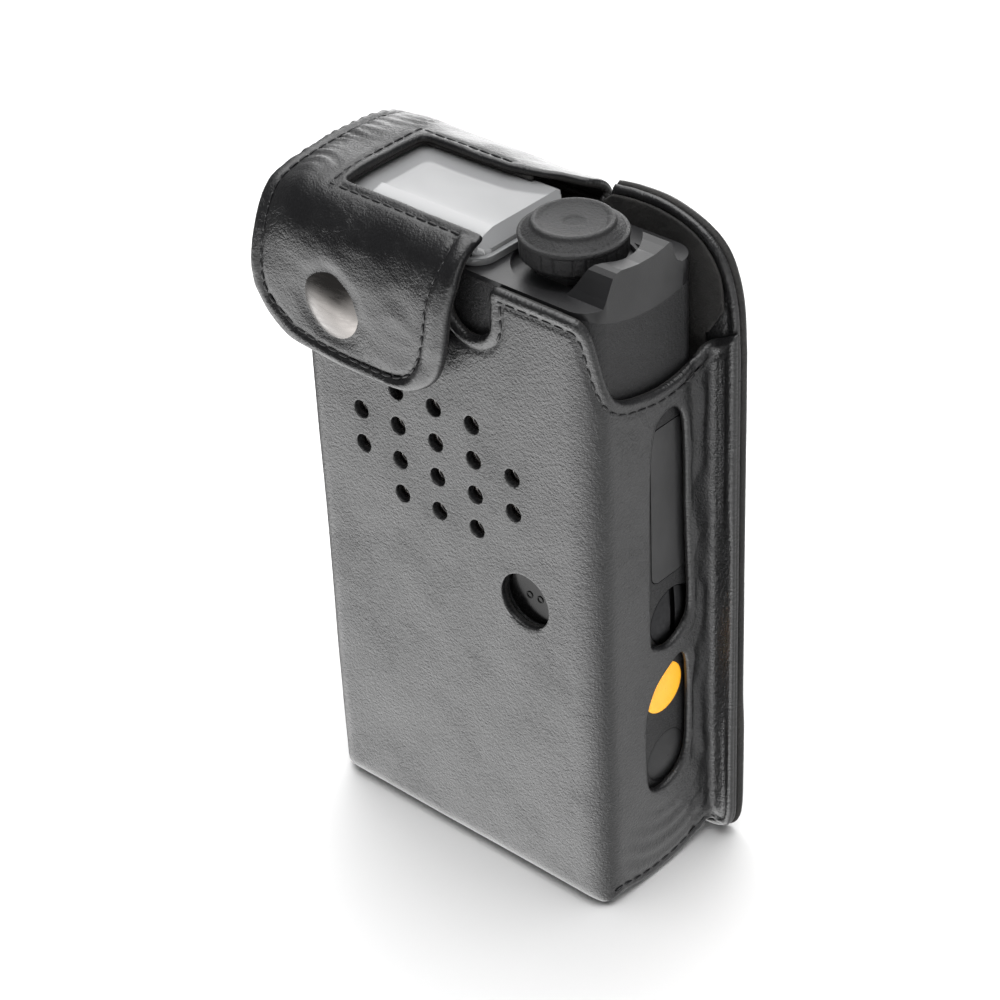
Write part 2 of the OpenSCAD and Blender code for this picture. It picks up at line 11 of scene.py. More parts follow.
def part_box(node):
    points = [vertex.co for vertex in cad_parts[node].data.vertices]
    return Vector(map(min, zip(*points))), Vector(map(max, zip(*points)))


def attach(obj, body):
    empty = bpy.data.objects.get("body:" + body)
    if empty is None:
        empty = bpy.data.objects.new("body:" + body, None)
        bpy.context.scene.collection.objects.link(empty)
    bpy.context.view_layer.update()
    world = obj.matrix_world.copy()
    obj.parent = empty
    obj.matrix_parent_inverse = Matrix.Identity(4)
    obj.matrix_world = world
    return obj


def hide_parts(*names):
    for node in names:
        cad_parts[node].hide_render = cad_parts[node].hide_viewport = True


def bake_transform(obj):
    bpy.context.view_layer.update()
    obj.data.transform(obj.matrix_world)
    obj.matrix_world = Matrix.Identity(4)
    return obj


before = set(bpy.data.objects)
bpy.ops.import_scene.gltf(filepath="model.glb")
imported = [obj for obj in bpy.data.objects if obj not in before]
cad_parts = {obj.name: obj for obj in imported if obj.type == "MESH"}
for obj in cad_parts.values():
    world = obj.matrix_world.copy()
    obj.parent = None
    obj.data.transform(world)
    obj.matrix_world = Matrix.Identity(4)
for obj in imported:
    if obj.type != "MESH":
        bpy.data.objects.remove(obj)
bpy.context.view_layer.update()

# Shapes are laid out in millimetres, with x centred, y measured back from the pouch's front
# face and z up from the base. FRONT_Y is where that front face lies in the frame.
MM = 0.001
FRONT_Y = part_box("case_pouch")[0].y


def span(node):
    """Lowest and highest corners of a CAD node, in layout millimetres."""
    low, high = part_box(node)
    shift = Vector((0, FRONT_Y, 0))
    return (low - shift) / MM, (high - shift) / MM


POUCH_HIGH = span("case_pouch")[1]
PANEL_LOW, PANEL_HIGH = span("case_back_panel")
LEATHER = 1.5
HALF_W = 31.0                    # half the pouch's width, without its flanges
CORNER_R = 5.0
EDGE_X = POUCH_HIGH.x
HEM_Z = POUCH_HIGH.z
CASE_D = PANEL_LOW.y - 0.05      # depth from the pouch's front to its flange's rear
FLANGE_T = 1.2


# ---- numbers and outlines

def columns(*parts):
    """Rows of coordinates from a list of values for each."""
    return np.stack(parts, axis=1)


def lattice_noise(x, y, seed):
    """Smooth value noise from -1 to 1, the same on every run."""
    ix, iy = np.floor(x), np.floor(y)
    fx, fy = x - ix, y - iy
    fx, fy = fx * fx * (3 - 2 * fx), fy * fy * (3 - 2 * fy)

    def corner(dx, dy):
        h = np.sin((ix + dx) * 127.1 + (iy + dy) * 311.7 + seed * 74.7) * 43758.5453
        return (h - np.floor(h)) * 2 - 1

    low = corner(0, 0) * (1 - fx) + corner(1, 0) * fx
    high = corner(0, 1) * (1 - fx) + corner(1, 1) * fx
    return low * (1 - fy) + high * fy


def layered_noise(x, y, seed):
    """Value noise at three scales, each half the size and half the height of the last."""
    return sum(lattice_noise(x * 2 ** k, y * 2 ** k, seed + k) / 2 ** k for k in range(3))


def smoothstep(low, high, value):
    t = np.clip((value - low) / (high - low), 0, 1)
    return t * t * (3 - 2 * t)


def spline(points, closed=False, per_span=12):
    """Points along a Catmull-Rom curve through the given ones."""
    p = np.array(points, float)
    if closed:
        p = np.vstack([p[-1], p, p[0], p[1]])
    else:
        p = np.vstack([2 * p[0] - p[1], p, 2 * p[-1] - p[-2]])
    t = np.linspace(0, 1, per_span, endpoint=False)[:, None]
    out = [0.5 * (2 * b + (c - a) * t + (2 * a - 5 * b + 4 * c - d) * t ** 2
                  + (3 * b - a - 3 * c + d) * t ** 3)
           for a, b, c, d in zip(p, p[1:], p[2:], p[3:])]
    if not closed:
        out.append(p[-2:-1])
    return np.vstack(out)


def run_along(line):
    """Distance along a line of each of its points."""
    return np.concatenate([[0], np.cumsum(np.linalg.norm(np.diff(line, axis=0), axis=1))])


def resample(line, step, closed=True):
    """The same line with points an even distance apart."""
    line = np.array(line, float)
    if closed:
        line = np.vstack([line, line[:1]])
    run = run_along(line)
    count = max(8, int(round(run[-1] / step)))
    at = np.linspace(0, run[-1], count + 1)
    if closed:
        at = at[:-1]
    return columns(*[np.interp(at, run, line[:, k]) for k in range(line.shape[1])])


def arc(x, y, r, start, end, count=12):
    """Points on a circle, with angles in degrees."""
    a = np.radians(np.linspace(start, end, count))
    return columns(x + r * np.cos(a), y + r * np.sin(a))


def circle(x, y, r):
    return arc(x, y, r, 0, 360, 37)[:-1]


def softened(points, radii):
    """A closed polygon with each corner rounded to its own radius, or kept where that is 0."""
    p = np.array(points, float)
    out = []
    for k, r in enumerate(radii):
        if not r:
            out.append(p[k:k + 1])
            continue
        before, here, after = p[k - 1], p[k], p[(k + 1) % len(p)]
        a = (before - here) / np.linalg.norm(before - here)
        b = (after - here) / np.linalg.norm(after - here)
        reach = r / math.tan(math.acos(np.clip(a @ b, -0.9999, 0.9999)) / 2)
        t = np.linspace(0, 1, 9)[:, None]
        start, end = here + a * reach, here + b * reach
        out.append(start * (1 - t) ** 2 + here * 2 * t * (1 - t) + end * t ** 2)
    return np.vstack(out)


def distance_to(points, loop):
    """Distance from each point to the closed loop, worked out a batch at a time."""
    ab = np.roll(loop, -1, axis=0) - loop
    length = (ab ** 2).sum(1)
    best = np.zeros(len(points))
    batch = 4000
    for start in range(0, len(points), batch):
        p = points[start:start + batch, None, :]
        t = np.clip(((p - loop) * ab).sum(2) / length, 0, 1)
        gap = p - (loop + ab * t[:, :, None])
        best[start:start + batch] = np.sqrt((gap ** 2).sum(2).min(1))
    return best


def inside(points, loop):
    """Which points lie inside the closed loop."""
    x, y = points.T
    found = np.zeros(len(points), bool)
    for (x0, y0), (x1, y1) in zip(loop, np.roll(loop, -1, axis=0)):
        if y0 != y1:
            found ^= ((y0 > y) != (y1 > y)) & (x < (x1 - x0) * (y - y0) / (y1 - y0) + x0)
    return found


def inset(loop, gap):
    """A closed loop moved to its left by gap, which is inwards if it runs anticlockwise."""
    along = np.roll(loop, -1, axis=0) - np.roll(loop, 1, axis=0)
    along /= np.linalg.norm(along, axis=1)[:, None] + 1e-12
    return loop + columns(-along[:, 1], along[:, 0]) * gap


# ---- meshes

def to_frame(points):
    """Layout millimetres to frame metres."""
    return np.asarray(points, float) * MM + np.array([0, FRONT_Y, 0])


def new_object(name, data):
    obj = bpy.data.objects.new(name, data)
    bpy.context.scene.collection.objects.link(obj)
    return obj


def make_mesh(name, points, faces, materials, uv=None, face_materials=None):
    """A smooth-shaded object from layout points, with an optional pattern map."""
    mesh = bpy.data.meshes.new(name)
    mesh.from_pydata(to_frame(points).tolist(), [], [list(f) for f in faces])
    for m in materials:
        mesh.materials.append(m)
    if face_materials is not None:
        mesh.polygons.foreach_set("material_index", np.asarray(face_materials, np.int32))
    if uv is not None:
        layer = mesh.uv_layers.new(name="pattern")
        corner = np.zeros(len(mesh.loops), np.int32)
        mesh.loops.foreach_get("vertex_index", corner)
        layer.data.foreach_set("uv", (np.asarray(uv)[corner] * MM).ravel())
    mesh.polygons.foreach_set("use_smooth", np.ones(len(mesh.polygons), bool))
    mesh.update()
    return new_object(name, mesh)


def normals_of(surface, uv):
    """Unit normals of a surface given as a function of its flat pattern."""
    e = 0.01
    du = surface(uv + [e, 0]) - surface(uv - [e, 0])
    dv = surface(uv + [0, e]) - surface(uv - [0, e])
    n = np.cross(du, dv)
    return n / (np.linalg.norm(n, axis=1)[:, None] + 1e-12)


# Rows of points follow each edge of a piece of leather, at these distances from it.
RINGS = (0.08, 0.22, 0.42, 0.7, 1.05, 1.45, 1.85, 2.25, 2.8, 3.4)
WINDOW_RINGS = RINGS[:8]
PUNCHED_RINGS = (0.04, 0.12, 0.25, 0.5, 0.85, 1.3)
PUNCHED = 12                     # holes smaller than this are punched, with a crisp edge
PUNCHED_STEP = 0.4               # distance between points round a punched hole
CUT_EDGE = 0.22                  # radius of a punched edge
ON_EDGE = 1e-4


def in_leather(points, loops):
    """Which points lie inside the outline and outside every hole."""
    kept = inside(points, loops[0][0])
    for loop, _ in loops[1:]:
        kept &= ~inside(points, loop)
    return kept


def edge_rows(loops):
    """Points in rows beside the edges, left out where another edge or row is nearer."""
    rows = [(inset(loop, gap)[::2 if gap > 1 else 1], gap) for loop, rings in loops for gap in rings]
    points = np.vstack([row for row, _ in rows])
    own_gap = np.concatenate([np.full(len(row), gap) for row, gap in rows])
    nearest = np.min([distance_to(points, loop) for loop, _ in loops], axis=0)
    return points[(nearest > own_gap * 0.93) & in_leather(points, loops)]


def even_grid(loops, grid):
    """Points in a triangular grid, wherever the rows beside the edges don't reach."""
    low, high = loops[0][0].min(0), loops[0][0].max(0)
    rows = []
    for k, v in enumerate(np.arange(low[1], high[1], grid * 0.87)):
        u = np.arange(low[0] + (k % 2) * grid / 2, high[0], grid)
        rows.append(columns(u, np.full(len(u), v)))
    points = np.vstack(rows)
    kept = in_leather(points, loops)
    for loop, rings in loops:
        kept &= distance_to(points, loop) > rings[-1] + grid * 0.4
    return points[kept]


def panel_mesh(loops, grid):
    """Triangles over a flat pattern, whose first loop is the outline and whose others are holes.

    The outline runs anticlockwise and the holes run clockwise, so leather is always on the left."""
    points = np.vstack([loop for loop, _ in loops] + [edge_rows(loops), even_grid(loops, grid)])
    edges, first = [], 0
    for loop, _ in loops:
        n = len(loop)
        edges += [(first + k, first + (k + 1) % n) for k in range(n)]
        first += n
    flat, _, tris, *_ = delaunay_2d_cdt([Vector(p) for p in points], edges, [], 0, 1e-6)
    flat = np.array([[v.x, v.y] for v in flat])
    tris = np.array(tris)
    return flat, tris[in_leather(flat[tris].mean(1), loops)]


def round_over(distance, radius):
    """How far a surface has dropped, as a negative height, at a distance from its rounded edge."""
    d = np.clip(distance, 0, radius)
    return np.sqrt(np.maximum(radius ** 2 - (radius - d) ** 2, 0)) - radius


def is_punched(hole):
    return np.ptp(hole, axis=0).max() < PUNCHED


def leather_panel(name, outline, holes, surface, thickness, relief, materials, grid=0.8, step=0.5):
    """A piece of leather cut to a flat pattern and laid on a surface, as one closed mesh.

    relief(uv, edge, hole) gives the height added to the outer face, where edge and hole are the
    distances to the outline and to the nearest hole."""
    loops = [(resample(outline, step), RINGS)]
    for hole in holes:
        if is_punched(hole):
            loops.append((resample(hole, PUNCHED_STEP), PUNCHED_RINGS))
        else:
            loops.append((resample(hole, step), WINDOW_RINGS))
    uv, tris = panel_mesh(loops, grid)
    edge = distance_to(uv, loops[0][0])
    hole = np.full(len(uv), 99.0)
    punched = np.full(len(uv), 99.0)
    for loop, _ in loops[1:]:
        away = distance_to(uv, loop)
        hole = np.minimum(hole, away)
        if is_punched(loop):
            punched = np.minimum(punched, away)
    nearest = np.minimum(edge, hole)
    base, normal = surface(uv), normals_of(surface, uv)
    border = nearest < ON_EDGE
    crisp = (punched < edge) & (punched <= hole) & ~border
    drop = np.where(crisp, round_over(nearest, CUT_EDGE), round_over(nearest, thickness / 2))
    outer = base + normal * (drop + relief(uv, edge, hole))[:, None]
    inner = base + normal * np.where(border, 0, -thickness - drop)[:, None]
    own = np.flatnonzero(~border)
    index = np.arange(len(uv))
    index[own] = len(uv) + np.arange(len(own))
    tris = tris[~border[tris].all(1)]
    faces = np.vstack([tris, index[tris][:, ::-1]])
    kinds = np.repeat([0, len(materials) - 1], len(tris))
    points = np.vstack([outer, inner[own]])
    return make_mesh(name, points, faces, materials, np.vstack([uv, uv[own]]), kinds)


THREAD_R = 0.24


def stitches(name, lines, surface, pitch=2.3, length=2.2, lift=0.0):
    """A row of sewn stitches along each flat line, every one dipping into the leather at its ends."""
    rings, sides, fine = 7, 8, 0.1
    points, faces = [], []
    for line in lines:
        run = resample(line, fine, closed=False)
        count = max(1, int(len(run) * fine / pitch))
        for k in range(count):
            middle = (k + 0.5) * len(run) / count
            reach = length / 2 / fine
            at = np.linspace(middle - reach, middle + reach, rings)
            uv = columns(*[np.interp(at, np.arange(len(run)), run[:, c]) for c in (0, 1)])
            base, normal = surface(uv), normals_of(surface, uv)
            s = np.linspace(-1, 1, rings)
            height = lift + THREAD_R * 0.3 - 1.3 * THREAD_R * s ** 4
            path = base + normal * height[:, None]
            along = np.gradient(path, axis=0)
            along /= np.linalg.norm(along, axis=1)[:, None]
            side = np.cross(along, normal)
            up = np.cross(side, along)
            thick = THREAD_R * np.sqrt(np.maximum(1 - (np.abs(s) * 0.985) ** 6, 0.02))
            first = len(points)
            angle = np.arange(sides) * 2 * math.pi / sides
            for i in range(rings):
                ring = path[i] + thick[i] * (np.cos(angle)[:, None] * side[i]
                                             + np.sin(angle)[:, None] * up[i])
                points.extend(ring)
            for i in range(rings - 1):
                for j in range(sides):
                    a, b = first + i * sides + j, first + i * sides + (j + 1) % sides
                    faces.append((a, b, b + sides, a + sides))
            faces.append([first + j for j in range(sides)][::-1])
            faces.append([first + (rings - 1) * sides + j for j in range(sides)])
    return make_mesh(name, np.array(points), faces, [THREAD])


# ---- material nodes

class Tree:
    """Short ways to add nodes to the node tree of a material or of the world."""

    def __init__(self, owner):
        owner.use_nodes = True
        self.nodes = owner.node_tree.nodes
        self.link = owner.node_tree.links.new

    def add(self, kind):
        return self.nodes.new("ShaderNode" + kind)

    def texture(self, kind, where, scale, **sockets):
        node = self.add("Tex" + kind)
        node.inputs["Scale"].default_value = scale
        for key, value in sockets.items():
            node.inputs[key.replace("_", " ")].default_value = value
        self.link(where, node.inputs["Vector"])
        return node

    def noise(self, where, scale, **sockets):
        return self.texture("Noise", where, scale, **sockets).outputs["Fac"]

    def ramp(self, value, low, high, low_out, high_out):
        """Maps a value from one range to another."""
        node = self.add("MapRange")
        node.interpolation_type = "SMOOTHSTEP"
        self.link(value, node.inputs["Value"])
        limits = {"From Min": low, "From Max": high, "To Min": low_out, "To Max": high_out}
        for key, limit in limits.items():
            node.inputs[key].default_value = limit
        return node.outputs["Result"]

    def math(self, kind, a, b):
        node = self.add("Math")
        node.operation = kind
        for socket, value in zip(node.inputs, (a, b)):
            if isinstance(value, (int, float)):
                socket.default_value = value
            else:
                self.link(value, socket)
        return node.outputs[0]

    def mix(self, factor, low, high):
        """A colour between two, by a factor."""
        node = self.add("Mix")
        node.data_type = "RGBA"
        self.link(factor, node.inputs["Factor"])
        node.inputs["A"].default_value = (*low, 1)
        node.inputs["B"].default_value = (*high, 1)
        return node.outputs["Result"]


class Look(Tree):
    """A new material, whose shader takes colours and gloss from textures."""

    def __init__(self, name):
        self.material = bpy.data.materials.new(name)
        super().__init__(self.material)
        self.sockets = self.nodes["Principled BSDF"].inputs

    def object_places(self):
        return self.add("TexCoord").outputs["Object"]

    def bump(self, height, depth, before=None):
        node = self.add("Bump")
        node.inputs["Strength"].default_value = 1.0
        node.inputs["Distance"].default_value = depth
        self.link(height, node.inputs["Height"])
        if before is not None:
            self.link(before, node.inputs["Normal"])
        self.link(node.outputs["Normal"], self.sockets["Normal"])
        return node.outputs["Normal"]

    def finish(self, colour_by, low, high, gloss_by, start, end, smooth, rough):
        """Colour runs from low to high, and roughness from smooth to rough, by two textures."""
        self.link(self.mix(colour_by, low, high), self.sockets["Base Color"])
        self.link(self.ramp(gloss_by, start, end, smooth, rough), self.sockets["Roughness"])

    def put(self, **values):
        """Sets the shader's own uniform values."""
        for key, value in values.items():
            self.sockets[key.replace("_", " ")].default_value = value
        return self.material


def leather_material(name, base, worn, roughness, grain_depth, wrinkle_depth, gloss=0.75):
    """Finished leather: a pebbled grain, soft wrinkles, uneven gloss and paler worn patches."""
    look = Look(name)
    pattern = look.add("UVMap")
    pattern.uv_map = "pattern"
    where = pattern.outputs["UV"]
    pores = look.texture("Voronoi", where, 2300.0)
    pores.feature = "SMOOTH_F1"
    fine = look.noise(where, 3800.0, Detail=3.0)
    cloud = look.noise(where, 70.0, Detail=5.0, Roughness=0.65)
    folds = look.noise(where, 520.0, Detail=4.0, Distortion=1.2)
    ridge = look.math("ABSOLUTE", look.math("SUBTRACT", folds, 0.5), 0.0)
    ridge = look.ramp(ridge, 0.0, 0.07, 0.0, 1.0)
    patch = look.ramp(cloud, 0.42, 0.68, 0.0, 1.0)
    grain = look.math("MULTIPLY", pores.outputs["Distance"], -0.8)
    grain = look.math("ADD", grain, fine)
    wrinkled = look.bump(look.math("MULTIPLY", ridge, patch), wrinkle_depth)
    look.bump(grain, grain_depth, wrinkled)
    look.finish(patch, base, worn, cloud, 0.3, 0.75, roughness - 0.04, roughness + 0.06)
    return look.put(Specular_IOR_Level=gloss)


def moulded_material(name, base, roughness, speckle_depth, speckle=1500.0):
    """Moulded plastic or rubber with a spark-eroded surface."""
    look = Look(name)
    where = look.object_places()
    rough = look.noise(where, speckle, Detail=4.0, Roughness=0.7)
    cloud = look.noise(where, 120.0, Detail=3.0)
    look.bump(rough, speckle_depth)
    pale = tuple(min(1.0, c * 1.25 + 0.002) for c in base)
    look.finish(cloud, base, pale, cloud, 0.3, 0.7, roughness - 0.06, roughness + 0.06)
    return look.material


def metal_material(name, base, roughness, brush_scale, brush_depth):
    """Plated or turned metal with fine scratches along x."""
    look = Look(name)
    where = look.object_places()
    stretch = look.add("Mapping")
    stretch.inputs["Scale"].default_value = (0.15, 1.0, 1.0)
    look.link(where, stretch.inputs["Vector"])
    brushed = look.noise(stretch.outputs["Vector"], brush_scale, Detail=3.0)
    cloud = look.noise(where, 300.0, Detail=2.0)
    look.bump(brushed, brush_depth)
    dull = tuple(c * 0.8 for c in base)
    look.finish(cloud, dull, base, brushed, 0.3, 0.7, roughness - 0.06, roughness + 0.08)
    return look.put(Metallic=1.0)


def glossy_material(name, base, roughness, coat, gloss=0.5):
    """Clear-fronted or polished plastic with faint wipe marks in its gloss."""
    look = Look(name)
    where = look.object_places()
    cloud = look.noise(where, 60.0, Detail=5.0, Distortion=0.8)
    pale = tuple(min(1.0, c * 1.08) for c in base)
    look.finish(cloud, base, pale, cloud, 0.35, 0.7, roughness, roughness + 0.05)
    return look.put(Specular_IOR_Level=gloss, Coat_Weight=coat, Coat_Roughness=0.03)


def orange_button_painted_glow():
    """Translucent orange rubber with a painted glow: emission brightens the button though it holds no
    lamp.
    """
    material = moulded_material("orange_rubber_painted_glow", (1.0, 0.42, 0.02), 0.42, 0.00003, 1500.0)
    sockets = material.node_tree.nodes["Principled BSDF"].inputs
    # painted glow: this emission stands in for the button's brightness and casts orange light on nearby
    # parts
    sockets["Emission Color"].default_value = (1.0, 0.44, 0.03, 1)
    sockets["Emission Strength"].default_value = 0.5
    sockets["Subsurface Weight"].default_value = 0.2
    sockets["Subsurface Scale"].default_value = 0.002
    return material


def mesh_material():
    """A woven metal grille cloth."""
    look = Look("grille_cloth")
    where = look.object_places()
    weave = []
    for axis in ("X", "Z"):
        wave = look.texture("Wave", where, 900.0)
        wave.bands_direction = axis
        weave.append(wave.outputs["Fac"])
    crossed = look.math("MULTIPLY", *weave)
    look.bump(crossed, 0.0001)
    colour = look.mix(crossed, (0.05, 0.044, 0.04), (0.62, 0.55, 0.48))
    look.link(colour, look.sockets["Base Color"])
    return look.put(Metallic=0.7, Roughness=0.42)


BLACK_LEATHER = leather_material(
    "black_leather", (0.012, 0.012, 0.013), (0.018, 0.018, 0.019), 0.36, 0.00009, 0.00004)
FLAP_LEATHER = leather_material(
    "flap_leather", (0.008, 0.008, 0.009), (0.014, 0.014, 0.015), 0.31, 0.00006, 0.00005, 0.6)
LINING = leather_material(
    "suede_lining", (0.018, 0.0172, 0.0165), (0.034, 0.032, 0.03), 0.85, 0.00012, 0.00005)
THREAD = moulded_material("waxed_thread", (0.014, 0.014, 0.015), 0.42, 0.00005, 3500.0)
BODY_PLASTIC = moulded_material("body_plastic", (0.014, 0.014, 0.015), 0.42, 0.0002, 1900.0)
CAP_PLASTIC = moulded_material("cap_plastic", (0.013, 0.013, 0.014), 0.36, 0.00002, 2600.0)
COVER_PLASTIC = moulded_material("cover_plastic", (0.022, 0.022, 0.023), 0.4, 0.00002, 2600.0)
KNOB_RUBBER = moulded_material("knob_rubber", (0.02, 0.02, 0.021), 0.5, 0.00026, 1900.0)
KEY_RUBBER = moulded_material("key_rubber", (0.012, 0.012, 0.013), 0.42, 0.00003, 1800.0)
SCREW_BLACK = metal_material("blackened_steel", (0.035, 0.035, 0.037), 0.38, 1400.0, 0.00001)
NICKEL = metal_material("satin_nickel", (0.17, 0.16, 0.153), 0.24, 1600.0, 0.000004)
RIM_METAL = metal_material("grille_rim", (0.7, 0.68, 0.66), 0.25, 1600.0, 0.000004)
LENS_PLASTIC = glossy_material("lens_plastic", (0.3, 0.303, 0.308), 0.08, 0.35)
BEZEL_PLASTIC = glossy_material("bezel_plastic", (0.2, 0.203, 0.206), 0.22, 0.3)
GLOSS_BLACK = glossy_material("gloss_black", (0.004, 0.004, 0.004), 0.1, 0.0, 0.16)
ORANGE_RUBBER_PAINTED_GLOW = orange_button_painted_glow()
GRILLE = mesh_material()
INNER_BLACK = moulded_material("inner_black", (0.008, 0.008, 0.008), 0.6, 0.00004)
INNER_STEEL = metal_material("inner_steel", (0.45, 0.45, 0.46), 0.35, 900.0, 0.00001)
BOARD_GREEN = moulded_material("board_green", (0.012, 0.07, 0.03), 0.4, 0.00003)


# ---- CAD nodes that stay

# Material, width of the broken edges in millimetres, and the nodes that have them.
FINISHES = [
    (BODY_PLASTIC, 0.25, "front_housing rear_housing"), (BODY_PLASTIC, 0.2, "battery_cover"),
    (CAP_PLASTIC, 0.55, "top_cap"), (COVER_PLASTIC, 0.15, "accessory_cover"),
    (LENS_PLASTIC, 0.25, "display_lens"), (BEZEL_PLASTIC, 0.15, "display_bezel"),
    (ORANGE_RUBBER_PAINTED_GLOW, 0.2, "orange_button"), (KEY_RUBBER, 0.2, "power_button"),
    (SCREW_BLACK, 0.1, "cover_screw"), (GRILLE, 0, "speaker_mesh"),
    (NICKEL, 0, "snap_cap snap_socket snap_stud snap_eyelet"),
    (KEY_RUBBER, 0, "top_gasket mic_boot"), (BOARD_GREEN, 0, "main_board side_key_board"),
    (INNER_BLACK, 0, "display_panel battery speaker_cone encoder_plunger accessory_connector"),
    (INNER_STEEL, 0, "shield_cans key_domes battery_contacts speaker_frame microphone antenna"),
    (INNER_STEEL, 0, "encoder_shaft encoder_body encoder_nut housing_screws"),
    (INNER_STEEL, 0, "vibration_motor vibration_weight"),
]


def break_edges(node, width):
    """Softly rounds a node's sharp edges."""
    weld = node.modifiers.new("weld", "WELD")
    weld.merge_threshold = 0.002 * MM
    bevel = node.modifiers.new("broken_edges", "BEVEL")
    bevel.width = width * MM
    bevel.segments = 3
    bevel.limit_method = "ANGLE"
    bevel.angle_limit = math.radians(28)
    bevel.harden_normals = True


def finish_nodes():
    """Gives every CAD node its material, and the ones in view softly broken edges."""
    for material, edge, names in FINISHES:
        for name in names.split():
            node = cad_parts[name]
            if not node.material_slots:
                node.data.materials.append(material)
            for place in node.material_slots:
                place.material = material
            if edge:
                break_edges(node, edge)


# ---- pouch

U_FRONT = HALF_W - CORNER_R
U_CORNER = U_FRONT + CORNER_R * math.pi / 2
FILLET_R = 1.2
SIDE_END_Y = CASE_D - FLANGE_T - FILLET_R
U_SIDE = U_CORNER + SIDE_END_Y - CORNER_R
U_FILLET = U_SIDE + FILLET_R * math.pi / 2
U_EDGE = U_FILLET + EDGE_X - HALF_W - FILLET_R
SOLE_R = 4.0
SIDE_SOLE_R = 0.8


def pouch_plan(u):
    """Plan position of a point a distance u round the pouch from the middle of its front."""
    a = np.abs(u)
    x, y = np.array(a), np.zeros_like(a)
    turn = np.clip((a - U_FRONT) / CORNER_R, 0, math.pi / 2)
    corner = a > U_FRONT
    x = np.where(corner, U_FRONT + CORNER_R * np.sin(turn), x)
    y = np.where(corner, CORNER_R * (1 - np.cos(turn)), y)
    y = np.where(a > U_CORNER, CORNER_R + a - U_CORNER, y)
    bend = np.clip((a - U_SIDE) / FILLET_R, 0, math.pi / 2)
    past = a > U_SIDE
    x = np.where(past, HALF_W + FILLET_R * (1 - np.cos(bend)), x)
    y = np.where(past, SIDE_END_Y + FILLET_R * np.sin(bend), y)
    x = np.where(a > U_FILLET, HALF_W + FILLET_R + a - U_FILLET, x)
    return x * np.sign(u), y


def side_u(y):
    """Distance round the pouch of a point on its right side, y behind the front face."""
    return U_CORNER + y - CORNER_R


def side_foot(y):
    """Height of the side panel's lower edge, which sags a little at its middle."""
    return 0.5 + 0.0145 * (y - 15) ** 2


def pouch_surface(uv):
    u, v = uv.T
    x, y = pouch_plan(u)
    e = 0.01
    x1, y1 = pouch_plan(u + e)
    out = columns(y1 - y, x - x1) / e
    out /= np.linalg.norm(out, axis=1)[:, None] + 1e-12
    r = SOLE_R + (SIDE_SOLE_R - SOLE_R) * smoothstep(U_FRONT, U_CORNER, np.abs(u))
    turn = np.clip((r - v) / r, 0, math.pi / 2)
    z = np.where(v < r, r - r * np.sin(turn), v)
    pull = np.where(v < r, r * (1 - np.cos(turn)), 0)
    return columns(x - out[:, 0] * pull, y - out[:, 1] * pull, z)


def pouch_foot(u):
    """Pattern height of the pouch's lower edge at a distance u round it."""
    a = np.abs(u)
    tucked = SOLE_R * (1 - math.pi / 2)
    _, y = pouch_plan(a)
    side = side_foot(np.maximum(y, CORNER_R))
    x = HALF_W + FILLET_R + np.maximum(a - U_FILLET, 0)
    flange_corner = 6.0
    over = np.clip(x - (EDGE_X - flange_corner), 0, flange_corner)
    flange = flange_corner - np.sqrt(np.maximum(flange_corner ** 2 - over ** 2, 0))
    foot = tucked + (side - tucked) * smoothstep(U_FRONT, U_CORNER, a)
    return np.where(a > U_FILLET, np.maximum(flange, side_foot(SIDE_END_Y)), foot)


def pouch_outline():
    foot_u = np.linspace(-U_EDGE, U_EDGE, 240)
    foot = columns(foot_u, pouch_foot(foot_u))
    scoop = spline([
        (U_EDGE, 100.4), (57.5, 98.4), (53, 95.9), (46, 95.0), (38.5, 96.3), (34.6, 98.3),
        (32.7, 101.6), (31.4, 106.5), (30.2, 110.6), (28.0, 112.9), (24.5, HEM_Z)])
    notch_r, notch_x, notch_z = 4.15, 7.15, 107.45
    lip = 1.6
    right = arc(notch_x + notch_r + lip, HEM_Z - lip, lip, 90, 180)
    bowl = arc(notch_x, notch_z, notch_r, 0, -180, 24)
    left = arc(notch_x - notch_r - lip, HEM_Z - lip, lip, 0, 90)
    far = [(-U_FRONT, HEM_Z), (-U_CORNER, 111.6), (-U_EDGE + 0.5, 111.3), (-U_EDGE, 110.8)]
    return np.vstack([foot, scoop, right, bowl, left, far])


def speaker_holes():
    """The punched holes, in four rows of five without the outer corners."""
    first_x, first_z, pitch_x, pitch_z, r = -17.6, 87.1, 8.0, 6.46, 1.5
    return [circle(first_x + i * pitch_x, first_z - j * pitch_z, r)
            for i in range(5) for j in range(4) if not (i in (0, 4) and j in (0, 3))]


def window(points):
    """A side window's outline, from points given as depth and height."""
    return spline([(side_u(y), z) for y, z in points], closed=True, per_span=10)


UPPER_WINDOW = window([
    (13.3, 50), (13.4, 66), (13.8, 82), (15.4, 88.9), (18.7, 90.2), (21.4, 88.2), (22.3, 83),
    (22.6, 68), (23.1, 53), (22.2, 48.4), (18.2, 46.1), (14.4, 47.3)])
LOWER_WINDOW = window([
    (12.2, 21.5), (11.9, 28), (12.2, 34.5), (14.2, 38.8), (17.4, 41.2), (20.6, 42.4), (22.4, 39.4),
    (22.6, 29), (22.0, 21.8), (19.6, 18.6), (16, 17.6), (13.2, 18.7)])
STITCH_IN = 2.1                  # from the pouch's upper edge to its stitches
SIDE_SEAM_IN = 1.4               # from its lower edges to theirs


def hem_height(edge, inset_by, puff, groove):
    """A padded band outside a sunken stitch line."""
    band = puff * np.sin(math.pi * np.clip(edge / inset_by, 0, 1)) ** 0.8
    line = np.exp(-((edge - inset_by) / 0.42) ** 2)
    return band - groove * line


